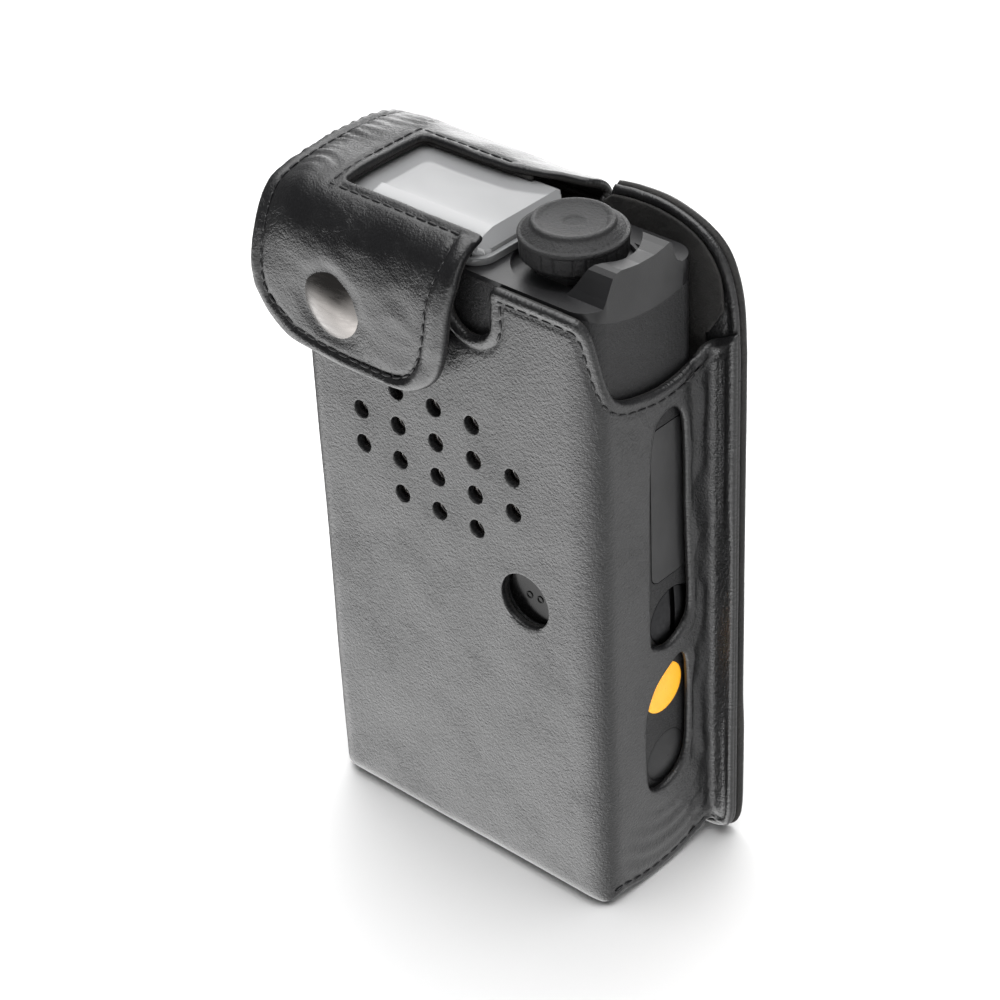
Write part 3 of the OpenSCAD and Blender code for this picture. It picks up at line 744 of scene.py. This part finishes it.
def pouch_relief(uv, edge, hole):
    u, v = uv.T
    height = hem_height(edge, STITCH_IN, 0.22, 0.3) * smoothstep(60, 70, v)
    height += hem_height(edge, SIDE_SEAM_IN, 0.12, 0.22) * (1 - smoothstep(20, 30, v)) * (
        smoothstep(U_FRONT + 3, U_CORNER, np.abs(u)))
    # a thinned edge round the windows, narrower round the punched holes
    windows = hole * (1 + 9 * (v > 54) * (u < U_CORNER))
    height -= 0.16 * np.exp(-(windows / 0.4) ** 1.5)
    height += 0.10 * layered_noise(u / 26, v / 26, 3)
    side = smoothstep(U_CORNER - 2, U_CORNER + 3, u) * (1 - smoothstep(U_SIDE - 1, U_SIDE + 1, u))
    # wandering creases behind the windows
    rear = smoothstep(side_u(21), side_u(24.5), u) * side
    wander = layered_noise(u / 2.1, v / 8, 11)
    height += rear * 0.52 * wander * smoothstep(0.4, 1.6, hole)
    # a fan of creases below the scoop
    fan = layered_noise((u * 0.8 + v * 0.6) / 2.6, (v * 0.8 - u * 0.6) / 10, 17)
    near_scoop = smoothstep(84, 93, v) * side * (1 - smoothstep(side_u(14), side_u(22), u))
    height += 0.26 * fan * near_scoop * smoothstep(0.6, 3.4, edge)
    # curved creases where the side turns under
    low = side * smoothstep(17, 10, v) * smoothstep(1.5, 4, edge)
    height += 0.16 * low * np.sin(np.hypot(u - side_u(17), v - 22) * 2 * math.pi / 3.1)
    return height


def build_pouch():
    holes = [h[::-1] for h in speaker_holes() + [circle(16, 57.9, 4.9)]]
    holes += [UPPER_WINDOW, LOWER_WINDOW]
    outline = pouch_outline()
    pouch = leather_panel(
        "pouch_leather", outline, holes, pouch_surface, LEATHER, pouch_relief, [BLACK_LEATHER, LINING])
    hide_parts("case_pouch")
    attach(pouch, "case")
    return pouch


# ---- flap

# Side view of the flap's outer face as depth and height, from its front edge over the top and
# down the back: first where it lies on the radio, then along its free left end, which droops.
FLAP_PROFILE = [
    (-3.3, 86), (-3.6, 92), (-3.8, 98), (-3.9, 104), (-3.7, 109.5), (-2.6, 114), (-0.3, 117.3),
    (3.0, 119.1), (7, 119.75), (14, 119.9), (20, 119.8), (24.5, 119.3), (28, 118.2), (30.8, 116.6),
    (32.3, 114.2), (32.75, 111), (32.75, 98)]
DROOP_PROFILE = [
    (-3.0, 86), (-3.1, 92), (-4.2, 98), (-4.3, 103), (-3.3, 107.7), (-1.4, 112.2), (0.9, 115.2),
    (4.0, 116.5), (8, 117.1), (14, 117.5), (20, 117.5), (24.5, 117.2), (28, 116.6), (30.8, 115.6),
    (32.9, 113.6), (33.0, 111), (33.0, 98)]
flap_line = spline(FLAP_PROFILE, per_span=16)
droop_line = spline(DROOP_PROFILE, per_span=16)
flap_run = run_along(flap_line)
FLAP_SKIN = 1.3


def flap_v(y, z):
    """Distance along the flap's profile of the point nearest to a depth and height."""
    return flap_run[np.argmin(np.hypot(flap_line[:, 0] - y, flap_line[:, 1] - z))]


def flap_surface(uv):
    """The flap's outer face, blending to its drooping profile at the free left end."""
    x, v = uv.T
    main = [np.interp(v, flap_run, flap_line[:, k]) for k in (0, 1)]
    droop = [np.interp(v, flap_run, droop_line[:, k]) for k in (0, 1)]
    w = smoothstep(-26.5, -38, x)
    return np.stack(
        [x, main[0] + (droop[0] - main[0]) * w, main[1] + (droop[1] - main[1]) * w], axis=1)


FLAP_LEFT, FLAP_RIGHT = -35.7, 7.5
WINDOW_LEFT = -20.9
V_FRONT = flap_v(3.6, 119.3)
V_BACK = flap_v(21.6, 119.6)
V_HEM_BACK = flap_v(32.75, 104)


def on_front(points):
    """Pattern points of the flap's front, from points given as x and height."""
    return [(x, flap_v(-4, z)) for x, z in points]


def flap_outline():
    low = on_front([
        (FLAP_LEFT, 103), (-35.2, 98.2), (-32.8, 94.0), (-29.2, 91.7), (-25, 90.8), (-15.4, 90.2),
        (-6.9, 90.3), (-2.6, 91.2), (1.0, 93.3), (3.5, 96.6), (5.2, 101.4), (6.3, 107.5), (7.4, 113.4)])
    rear = [(-4, V_BACK + 0.3), (1.2, V_BACK + 2.0), (4, V_BACK + 3.6), (7.2, V_BACK + 4.9),
            (8.5, V_BACK + 6.2)]
    right = softened([
        (FLAP_RIGHT, V_FRONT - 5), (FLAP_RIGHT + 0.2, V_FRONT), (WINDOW_LEFT, V_FRONT),
        (WINDOW_LEFT, V_BACK), (-10, V_BACK)], [0, 1.2, 0.8, 1.4, 0])
    back = softened([
        (8.7, V_BACK + 8), (8.6, V_HEM_BACK), (FLAP_LEFT, V_HEM_BACK),
        (FLAP_LEFT, flap_v(-4, 103) + 1)], [0, 4, 6, 0])
    return np.vstack([spline(low), right, spline(rear), back])


def flap_seam():
    """The stitch line inside the flap's outer edges, from the fold on the right to the hinge."""
    front = [(4.4, V_FRONT - 1.7), (4.2, flap_v(-1.5, 116))]
    front += on_front([
        (3.2, 113.4), (1.9, 108.8), (0.3, 100.7), (-1.5, 96.2), (-3.9, 93.5), (-7.5, 92.5),
        (-15.6, 92.4), (-25.5, 93.3), (-30.6, 96.2), (-33.0, 99.2), (-33.5, 104), (-33.3, 109)])
    top = [(-33.1, flap_v(0, 117)), (-33.0, flap_v(7, 119.7)), (-33.2, flap_v(20, 119.8)),
           (-33.0, flap_v(28, 118.2)), (-33.0, V_HEM_BACK - 5)]
    return spline(front + top)


def flap_window_seam():
    return np.array([
        (4.4, V_FRONT - 1.7), (WINDOW_LEFT - 1.7, V_FRONT - 1.7), (WINDOW_LEFT - 2.0, V_BACK + 1.3),
        (-4, V_BACK + 1.7)])


def distance_along(points, line):
    """Distance from each point to an open line."""
    return distance_to(points, np.vstack([line, line[-2:0:-1]]))


SNAP_LOW, SNAP_HIGH = span("snap_cap")
SNAP_X = (SNAP_LOW.x + SNAP_HIGH.x) / 2
SNAP_Z = (SNAP_LOW.z + SNAP_HIGH.z) / 2


def flap_relief(uv, edge, hole):
    x, v = uv.T
    seam, window_seam = flap_seam(), flap_window_seam()
    to_seam = distance_along(uv, seam)
    to_window = distance_along(uv, window_seam)
    # the turned hem, fuller at the right, inside the stitch line
    share = np.clip(edge / np.maximum(edge + to_seam, 1e-6), 0, 1)
    loop = np.vstack([seam, [(20, V_HEM_BACK), (20, V_FRONT - 1.7)]])
    in_hem = ~inside(uv, loop)
    band = np.where(in_hem, np.sin(math.pi * share) ** 0.7, 0) * np.where(x > -8, 0.55, 0.3)
    height = band * smoothstep(V_BACK + 12, V_BACK + 4, v)
    depth = 0.34 + 0.3 * smoothstep(-28, -10, x) * smoothstep(flap_v(-4, 98), flap_v(-4, 93), v)
    height -= depth * np.exp(-(to_seam / 0.45) ** 2)
    height -= 0.26 * np.exp(-(to_window / 0.4) ** 2)
    # creases across the drooping strip left of the window
    strip = smoothstep(-22, -25, x) * smoothstep(V_FRONT - 4, V_FRONT + 4, v)
    wander = lattice_noise(x / 7, v / 7, 5) * 2.2
    ridges = np.sin((v + wander + x * 0.12) * 2 * math.pi / 2.1)
    ridges *= 0.5 + 0.5 * lattice_noise(x / 3.1, v / 2.3, 8)
    height += 0.2 * ridges * strip * smoothstep(V_HEM_BACK - 6, V_BACK + 2, v)
    height += 0.16 * layered_noise(x / 9, v / 6, 21)
    # a dent round the snap cap
    cap = np.hypot(x - SNAP_X, v - flap_v(-4, SNAP_Z))
    height -= 0.3 * np.exp(-((cap - 5.9) / 1.3) ** 2)
    return height


def lining_surface(uv):
    """The face on the inside of the flap's leather."""
    return flap_surface(uv) - normals_of(flap_surface, uv) * (FLAP_SKIN - 0.02)


def build_flap():
    flap = leather_panel(
        "flap_leather", flap_outline(), [], flap_surface, FLAP_SKIN, flap_relief,
        [FLAP_LEATHER, LINING], grid=0.7)
    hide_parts("flap")
    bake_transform(flap)
    seams = [flap_seam(), flap_window_seam()]
    sewn = stitches("flap_stitches", seams, flap_surface, lift=-0.22)
    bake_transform(sewn)


def build_flap_lining():
    v_end = flap_v(24, 119.3)
    lip = 0.5
    front = on_front([
        (-34.8, 103), (-34.3, 98.8), (-32.2, 95.0), (-28.6, 92.8), (-15.4, 91.4), (-6.9, 91.4),
        (-3, 92.3), (0.2, 94.3), (2.6, 97.4), (4.2, 101.6), (5.4, 107.5), (6.4, 113.4)])
    rest = softened([
        (6.6, V_FRONT - 5), (6.6, V_FRONT - lip), (WINDOW_LEFT - lip, V_FRONT - lip),
        (WINDOW_LEFT - lip, V_BACK + lip), (0, V_BACK + lip + 1), (0.2, v_end), (-34.6, v_end),
        (-34.8, flap_v(-4, 103) + 1)], [0, 1, 1, 1, 0.4, 0.4, 1, 0])
    lining = leather_panel(
        "flap_inner_lining", np.vstack([spline(front), rest]), [], lining_surface, 0.85,
        lambda uv, edge, hole: 0 * edge, [LINING], grid=1.2)
    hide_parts("flap_lining")
    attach(lining, "flap_leaf")


# ---- back panel and belt loop

PANEL_UNDER_FLAP = 113.4         # height of the back panel where the flap covers it
SKIN_REAR = 1.25
BACK_LINING = 0.6                # thickness of the lining inside the back panel
REAR_SEAM_IN = 3.0


def shoulder(gap=0.0):
    """Outline of the back panel, which stands tall behind the knob and low under the flap."""
    right = EDGE_X - gap
    top = [(right, 96), (EDGE_X - 0.5 - gap, 104), (33.7 - gap, 109.6),
           (31.4 - gap * 0.8, 113.6 - gap * 0.6), (27.4 - gap * 0.5, 116.4 - gap * 0.85),
           (21.5 - gap * 0.2, 118.2 - gap), (15.6, 118.4 - gap), (11, 117.9 - gap)]
    flat_top = PANEL_UNDER_FLAP - gap
    rest = softened([
        (7.9 + gap, 117.0 - gap), (7.6 + gap, flat_top), (-right, flat_top), (-right, gap),
        (right, gap), (right, 40)], [0.8, 1.2, 3, 6, 6, 0])
    return np.vstack([spline(top), rest])


def upright(y, facing=1):
    """A flat upright surface at depth y, whose pattern is seen from behind if facing is -1."""
    return lambda uv: columns(facing * uv[:, 0], np.full(len(uv), y), uv[:, 1])


rear_surface = upright(PANEL_HIGH.y, -1)


def mirrored(loop):
    """The loop as seen from behind, still anticlockwise."""
    return (np.array(loop) * [-1, 1])[::-1]


def rear_relief(uv, edge, hole):
    height = hem_height(edge, REAR_SEAM_IN, 0.25, 0.28)
    bulge = smoothstep(3, 9, uv[:, 1]) * smoothstep(30, 22, uv[:, 1]) * (uv[:, 0] < -20)
    return height + 0.14 * layered_noise(*uv.T / 22, 31) + 0.25 * bulge


def facing_relief(uv, edge, hole):
    return hem_height(edge, 1.9, 0.2, 0.26) + 0.06 * layered_noise(*uv.T / 5, 37)


def build_back_panel():
    rear = leather_panel(
        "back_leather", mirrored(shoulder()), [], rear_surface, SKIN_REAR, rear_relief,
        [BLACK_LEATHER, LINING], grid=1.4, step=0.6)
    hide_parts("case_back_panel")
    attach(rear, "case")
    facing = leather_panel(
        "back_facing", shoulder(0.25), [], upright(PANEL_LOW.y), PANEL_HIGH.y - PANEL_LOW.y - SKIN_REAR,
        facing_relief, [BLACK_LEATHER], grid=1.4, step=0.6)
    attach(facing, "case")


def build_back_lining():
    back = softened(
        [(-29.2, 60), (-29.2, 2.2), (29.2, 2.2), (29.2, 98.4), (EDGE_X - 2.7, 100.1)],
        [0, 1, 1, 0.3, 0.3])
    hug = spline([
        (EDGE_X - 2.8, 103.5), (32.2, 108.4), (30.1, 112.2), (26.6, 115.0), (21.2, 116.6),
        (15.6, 116.8), (11.2, 116.3)])
    end = softened([(9.6, 115.6), (9.4, 112.8), (-29.2, 112.8), (-29.2, 61)], [0.6, 0.6, 2, 0])
    lining = leather_panel("back_inner_lining", np.vstack([back, hug, end]), [],
                           upright(PANEL_LOW.y - BACK_LINING), BACK_LINING,
                           lambda uv, edge, hole: 0.12 * lattice_noise(*uv.T, 41),
                           [LINING], grid=1.4)
    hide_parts("back_lining")
    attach(lining, "case")


def build_back_stitches():
    seam = inset(resample(mirrored(shoulder()), 0.6), REAR_SEAM_IN)
    start = np.argmax(seam[:, 1] - seam[:, 0] * (seam[:, 1] > 100))
    seam = np.roll(seam, -start, axis=0)
    seam = seam[(seam[:, 0] < -11) | (seam[:, 1] < 102)]
    over_back = flap_v(32.75, 104.0) - 1.8
    sewn = stitches(
        "back_stitches", [seam], rear_surface, pitch=3.0, length=2.4, lift=-0.2)
    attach(sewn, "case")
    hem = stitches(
        "flap_back_stitches", [np.array([(7, over_back), (-31.5, over_back)])], flap_surface,
        pitch=3.0, length=2.4, lift=0.0)
    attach(hem, "case")


LOOP_LOW, LOOP_HIGH = span("belt_loop")
LOOP_T = 1.6
LOOP_SEWN, LOOP_RAMP = 9.0, 7.0
LOOP_SEAM_IN = 2.4
sewn_y = PANEL_HIGH.y + LOOP_T
loop_line = spline([
    (sewn_y, LOOP_LOW.z), (sewn_y, LOOP_LOW.z + 4), (sewn_y, LOOP_LOW.z + LOOP_SEWN),
    (LOOP_HIGH.y, LOOP_LOW.z + LOOP_SEWN + LOOP_RAMP), (LOOP_HIGH.y, (LOOP_LOW.z + LOOP_HIGH.z) / 2),
    (LOOP_HIGH.y, LOOP_HIGH.z - LOOP_SEWN - LOOP_RAMP), (sewn_y, LOOP_HIGH.z - LOOP_SEWN),
    (sewn_y, LOOP_HIGH.z - 4), (sewn_y, LOOP_HIGH.z)])
loop_run = run_along(loop_line)


def loop_surface(uv):
    y = np.interp(uv[:, 1], loop_run, loop_line[:, 0])
    z = np.interp(uv[:, 1], loop_run, loop_line[:, 1])
    return columns(-uv[:, 0], y, z)


def loop_relief(uv, edge, hole):
    grain = layered_noise(*uv.T / 8, 51)
    return hem_height(edge, LOOP_SEAM_IN, 0.15, 0.22) + 0.05 * grain


def build_belt_loop():
    half = LOOP_HIGH.x
    end = loop_run[-1]
    outline = softened([(-half, 0), (half, 0), (half, end), (-half, end)], [4, 4, 4, 4])
    strap = leather_panel(
        "belt_strap", outline, [], loop_surface, LOOP_T, loop_relief, [BLACK_LEATHER, LINING], grid=1.2,
        step=0.6)
    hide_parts("belt_loop")
    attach(strap, "case")
    side = half - LOOP_SEAM_IN
    lines = []
    for low, high in ((LOOP_SEAM_IN, LOOP_SEWN - 0.8),
                      (end - LOOP_SEWN + 0.8, end - LOOP_SEAM_IN)):
        box = [(-side, low), (side, low), (side, high), (-side, high), (-side, low)]
        lines += [np.array(box[k:k + 2]) for k in range(4)]
    sewn = stitches("belt_strap_stitches", lines, loop_surface, pitch=3.0, length=2.4)
    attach(sewn, "case")


def build_pouch_stitches():
    line = inset(resample(pouch_outline(), 0.5), STITCH_IN)
    right = line[(line[:, 1] > 85) & (line[:, 0] > 12.2) & (line[:, 0] < U_SIDE)]
    left = line[(line[:, 1] > 85) & (line[:, 0] < 1.2) & (line[:, 0] > -U_SIDE)]
    u = np.linspace(U_CORNER - 2, U_SIDE, 60)
    seam = columns(u, pouch_foot(u) + SIDE_SEAM_IN)
    other = seam[::-1] * [-1, 1]
    sewn = stitches(
        "pouch_stitches", [right, left, seam, other], pouch_surface, lift=-0.2)
    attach(sewn, "case")


def sole_surface(uv):
    """The underside, whose pattern is seen from below."""
    return columns(uv[:, 0], -uv[:, 1], np.full(len(uv), 0.15))


def build_sole():
    half, front, back, corner = HALF_W - 1.0, 2.6, CASE_D - 0.4, 3.4
    outline = softened(
        [(-half, -back), (half, -back), (half, -front), (-half, -front)], [0.8, 0.8, corner, corner])
    sole = leather_panel("pouch_sole", outline, [], sole_surface, 1.3,
                         lambda uv, edge, hole: 0.08 * layered_noise(*uv.T / 7, 61) - 0.1,
                         [BLACK_LEATHER], grid=1.4)
    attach(sole, "case")


# ---- knob and microphone dish

def lathe(profile, turns, bend=None):
    """Points and faces of a solid turned round z from a profile that starts and ends on it."""
    angle = np.arange(turns) * 2 * math.pi / turns
    points, rows = [], []
    for r, z in profile:
        if r == 0:
            rows.append([len(points)] * turns)
            points.append((0, 0, z))
            continue
        reach = r + (bend(angle, r, z) if bend else 0)
        rows.append(list(range(len(points), len(points) + turns)))
        points.extend(columns(reach * np.cos(angle), reach * np.sin(angle), np.full(turns, z)))
    faces = []
    for low, high in zip(rows, rows[1:]):
        for k in range(turns):
            n = (k + 1) % turns
            faces.append(list(dict.fromkeys([low[k], low[n], high[n], high[k]])))
    return np.array(points, float), faces


def ring(radius, thick, turns, sides=8):
    """Points and faces of a ring round z."""
    angle = np.arange(turns) * 2 * math.pi / turns
    section = arc(radius, 0, thick, 0, 360, sides + 1)[:-1]
    points = np.array([(r * math.cos(a), r * math.sin(a), z) for a in angle for r, z in section])
    faces = []
    for i in range(turns):
        for j in range(sides):
            a, b = i * sides + j, i * sides + (j + 1) % sides
            c, d = (b + sides) % (turns * sides), (a + sides) % (turns * sides)
            faces.append((a, d, c, b))
    return points, faces


def facing_front(points, x, y, z):
    """Turns points made round z to face the front, with their origin at the given place."""
    return columns(points[:, 0] + x, y - points[:, 2], points[:, 1] + z)


def rings_facing_front(name, centres, radius, thick, turns, material):
    """One object made of equal rings round the given places."""
    spots, skins = [], []
    for centre in centres:
        points, faces = ring(radius, thick, turns)
        skins += [[k + len(spots) * len(points) for k in f] for f in faces]
        spots.append(facing_front(points, *centre))
    return make_mesh(name, np.vstack(spots), skins, [material])


KNOB_LOW, KNOB_HIGH = span("knob")
PANEL_PAIRS = 10      # each pair of skirt facets is one wide and one narrow
WIDE_SHARE = 0.6
PAIR_TURN = 2 * math.pi / PANEL_PAIRS


def skirt_facets(angle, r, z):
    """Change in radius that cuts the knob's skirt into flat facets with grooves between."""
    turn = np.mod(angle, PAIR_TURN) / PAIR_TURN
    wide = turn < WIDE_SHARE
    width = np.where(wide, WIDE_SHARE, 1 - WIDE_SHARE) * PAIR_TURN
    at = np.where(wide, turn, turn - WIDE_SHARE) * PAIR_TURN - width / 2
    flat = r * np.cos(width / 2) / np.cos(at) - r * (1 + np.cos(width / 2)) / 2
    to_groove = (width / 2 - np.abs(at)) * r
    groove = 0.34 * np.exp(-(to_groove / 0.2) ** 2)
    on_skirt = smoothstep(0.9, 1.25, z) * (1 - smoothstep(3.55, 3.8, z))
    return (flat - groove) * on_skirt


def build_knob():
    """A turned cap with a faceted skirt, a collar and a dished top, hollow underneath."""
    height = KNOB_HIGH.z - KNOB_LOW.z
    bore_r, bore_z, hollow_r, hollow_z = 3.02, 4.4, 6.8, 1.6
    under = [(0, bore_z), (bore_r, bore_z), (bore_r, hollow_z), (hollow_r, hollow_z), (hollow_r, 0.02)]
    skirt = [(6.9, 0), (7.35, 0.03), (7.5, 0.15), (7.52, 0.7), (7.62, 0.82), (8.05, 0.86),
             (8.22, 0.95), (8.3, 1.1), (8.33, 1.35)]
    skirt += [(8.33, z) for z in np.linspace(1.6, 3.4, 8)]
    collar = [(8.32, 3.6), (8.34, 3.72), (8.42, 3.8), (8.48, 3.92), (8.48, 4.25), (8.42, 4.42),
              (8.26, 4.52), (7.98, 4.55), (7.85, 4.6), (7.72, 4.72)]
    slope = [(7.2, 5.15), (6.75, 5.5), (6.55, 5.68), (6.47, 5.85), (6.44, 6.05), (6.36, 6.24),
             (6.2, 6.36), (5.98, height), (5.75, 6.37), (5.5, 6.27), (5.25, 6.12), (4.9, 6.0)]
    top = [(4.2, 5.9), (3.2, 5.85), (2.2, 5.84), (1.75, 5.82), (1.55, 5.74), (1.3, 5.62),
           (0.9, 5.58), (0.4, 5.6), (0, 5.62)]
    points, faces = lathe(under + skirt + collar + slope + top, 360, skirt_facets)
    centre = (KNOB_LOW + KNOB_HIGH) / 2
    knob = make_mesh("knob_cap", points + [centre.x, centre.y, KNOB_LOW.z], faces, [KNOB_RUBBER])
    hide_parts("knob")
    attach(knob, "knob_assembly")


MIC_LOW, MIC_HIGH = span("mic_insert")
MESH_LOW = span("speaker_mesh")[0]


def build_mic_dish():
    """A glossy dished insert with two ringed sound ports."""
    centre = (MIC_LOW + MIC_HIGH) / 2
    r, depth = 5.05, MIC_HIGH.y - MIC_LOW.y
    shares = (0.94, 0.86, 0.76, 0.64, 0.5, 0.34, 0.17)
    hollow = [(r * t, depth * (0.3 + 0.7 * t ** 3)) for t in shares]
    profile = [(0, 0), (r - 0.05, 0), (r, 0.06), (r, depth - 0.06), (r - 0.06, depth)] + hollow
    points, faces = lathe(profile + [(0, depth * 0.3)], 72)
    dish = make_mesh(
        "mic_dish", facing_front(points, centre.x, MIC_HIGH.y, centre.z), faces, [GLOSS_BLACK])
    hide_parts("mic_insert")
    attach(dish, "case")
    places = [(centre.x + x, MIC_HIGH.y - depth * 0.36, centre.z - 0.5) for x in (-1.1, 1.1)]
    ports = rings_facing_front("mic_ports", places, 0.55, 0.12, 28, GLOSS_BLACK)
    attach(ports, "case")


def build_grille_rims():
    """Rolled rims of the holes in the radio's grille, seen through the punched leather."""
    middles = [hole.mean(0) for hole in speaker_holes()]
    places = [(x, MESH_LOW.y - 0.03, z) for x, z in middles]
    rims = rings_facing_front("grille_rims", places, 1.34, 0.11, 32, RIM_METAL)
    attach(rims, "case")


# ---- floor, light and camera

def vector_from(azimuth, elevation):
    """A direction, with azimuth measured from -Y towards +X, in degrees."""
    a, e = math.radians(azimuth), math.radians(elevation)
    return Vector((math.sin(a) * math.cos(e), -math.cos(a) * math.cos(e), math.sin(e)))


def build_camera():
    azimuth, elevation, roll = 43.2, 34.21, -2.75
    place = (0.255718, -0.276132, 0.317783)
    back = vector_from(azimuth, elevation)
    right = Vector((math.cos(math.radians(azimuth)), math.sin(math.radians(azimuth)), 0))
    up = back.cross(right)
    c, s = math.cos(math.radians(roll)), math.sin(math.radians(roll))
    right, up = right * c + up * s, up * c - right * s
    data = bpy.data.cameras.new("camera")
    data.lens = 100.436
    data.sensor_width = 36
    camera = new_object("camera", data)
    rows = [(right[k], up[k], back[k], place[k]) for k in range(3)]
    camera.matrix_world = Matrix(rows + [(0, 0, 0, 1)])
    bpy.context.scene.camera = camera


def build_floor():
    look = Look("studio_floor")
    cloud = look.noise(look.object_places(), 3.0)
    colour = look.mix(cloud, (0.92, 0.92, 0.92), (0.94, 0.94, 0.94))
    look.link(colour, look.sockets["Base Color"])
    half = 12
    mesh = bpy.data.meshes.new("floor")
    mesh.from_pydata(
        [(-half, -half, 0), (half, -half, 0), (half, half, 0), (-half, half, 0)], [], [(0, 1, 2, 3)])
    mesh.materials.append(look.put(Roughness=0.7))
    floor = new_object("floor", mesh)
    floor.visible_glossy = False


def lobe(tree, direction, toward, inner, outer, strength):
    """Brightness that is full within inner degrees of a direction and gone beyond outer."""
    dot = tree.add("VectorMath")
    dot.operation = "DOT_PRODUCT"
    tree.link(direction, dot.inputs[0])
    dot.inputs[1].default_value = toward
    edge, core = math.cos(math.radians(outer)), math.cos(math.radians(inner))
    return tree.ramp(dot.outputs["Value"], edge, core, 0.0, strength)


def build_light():
    world = bpy.data.worlds.new("studio")
    bpy.context.scene.world = world
    tree = Tree(world)
    direction = tree.add("TexCoord").outputs["Generated"]
    lobes = [((-50, -58), 26, 45, 3.2),    # bright table to the front left
             ((20, -42), 20, 46, 1.9),     # the same table, fading towards the right
             ((137, -38), 24, 54, 0.95),   # table behind on the right
             ((-137, 44), 16, 40, 1.35),   # large softbox behind on the left
             ((-148, 0), 10, 24, 3.6),     # its lower part, seen in the rear edges
             ((72, 4), 5, 20, 2.4),        # strip light on the right
             ((0, 90), 18, 46, 3.2)]       # overhead diffuser
    total = 0.14
    for (azimuth, elevation), inner, outer, strength in lobes:
        toward = vector_from(azimuth, elevation)
        total = tree.math("ADD", total, lobe(tree, direction, toward, inner, outer, strength))
    lighting = tree.nodes["Background"]
    tree.link(total, lighting.inputs["Strength"])
    pale = tree.add("Background")
    pale.inputs["Strength"].default_value = 1.0
    for shade in (lighting, pale):
        shade.inputs["Color"].default_value = (1, 1, 1, 1)
    seen = tree.add("LightPath")
    mix = tree.add("MixShader")
    tree.link(seen.outputs["Is Camera Ray"], mix.inputs["Fac"])
    tree.link(lighting.outputs[0], mix.inputs[1])
    tree.link(pale.outputs[0], mix.inputs[2])
    tree.link(mix.outputs[0], tree.nodes["World Output"].inputs["Surface"])
    bpy.context.scene.view_settings.view_transform = "Standard"
    data = bpy.data.lights.new("softbox", "AREA")
    data.size = 0.11
    data.energy = 0.12
    softbox = new_object("softbox", data)
    softbox.location = (-0.208, 0.188, 0.304)


build_camera()
build_floor()
build_light()
finish_nodes()
build_pouch()
build_pouch_stitches()
build_sole()
build_flap()
build_flap_lining()
build_back_panel()
build_back_lining()
build_back_stitches()
build_belt_loop()
build_knob()
build_mic_dish()
build_grille_rims()
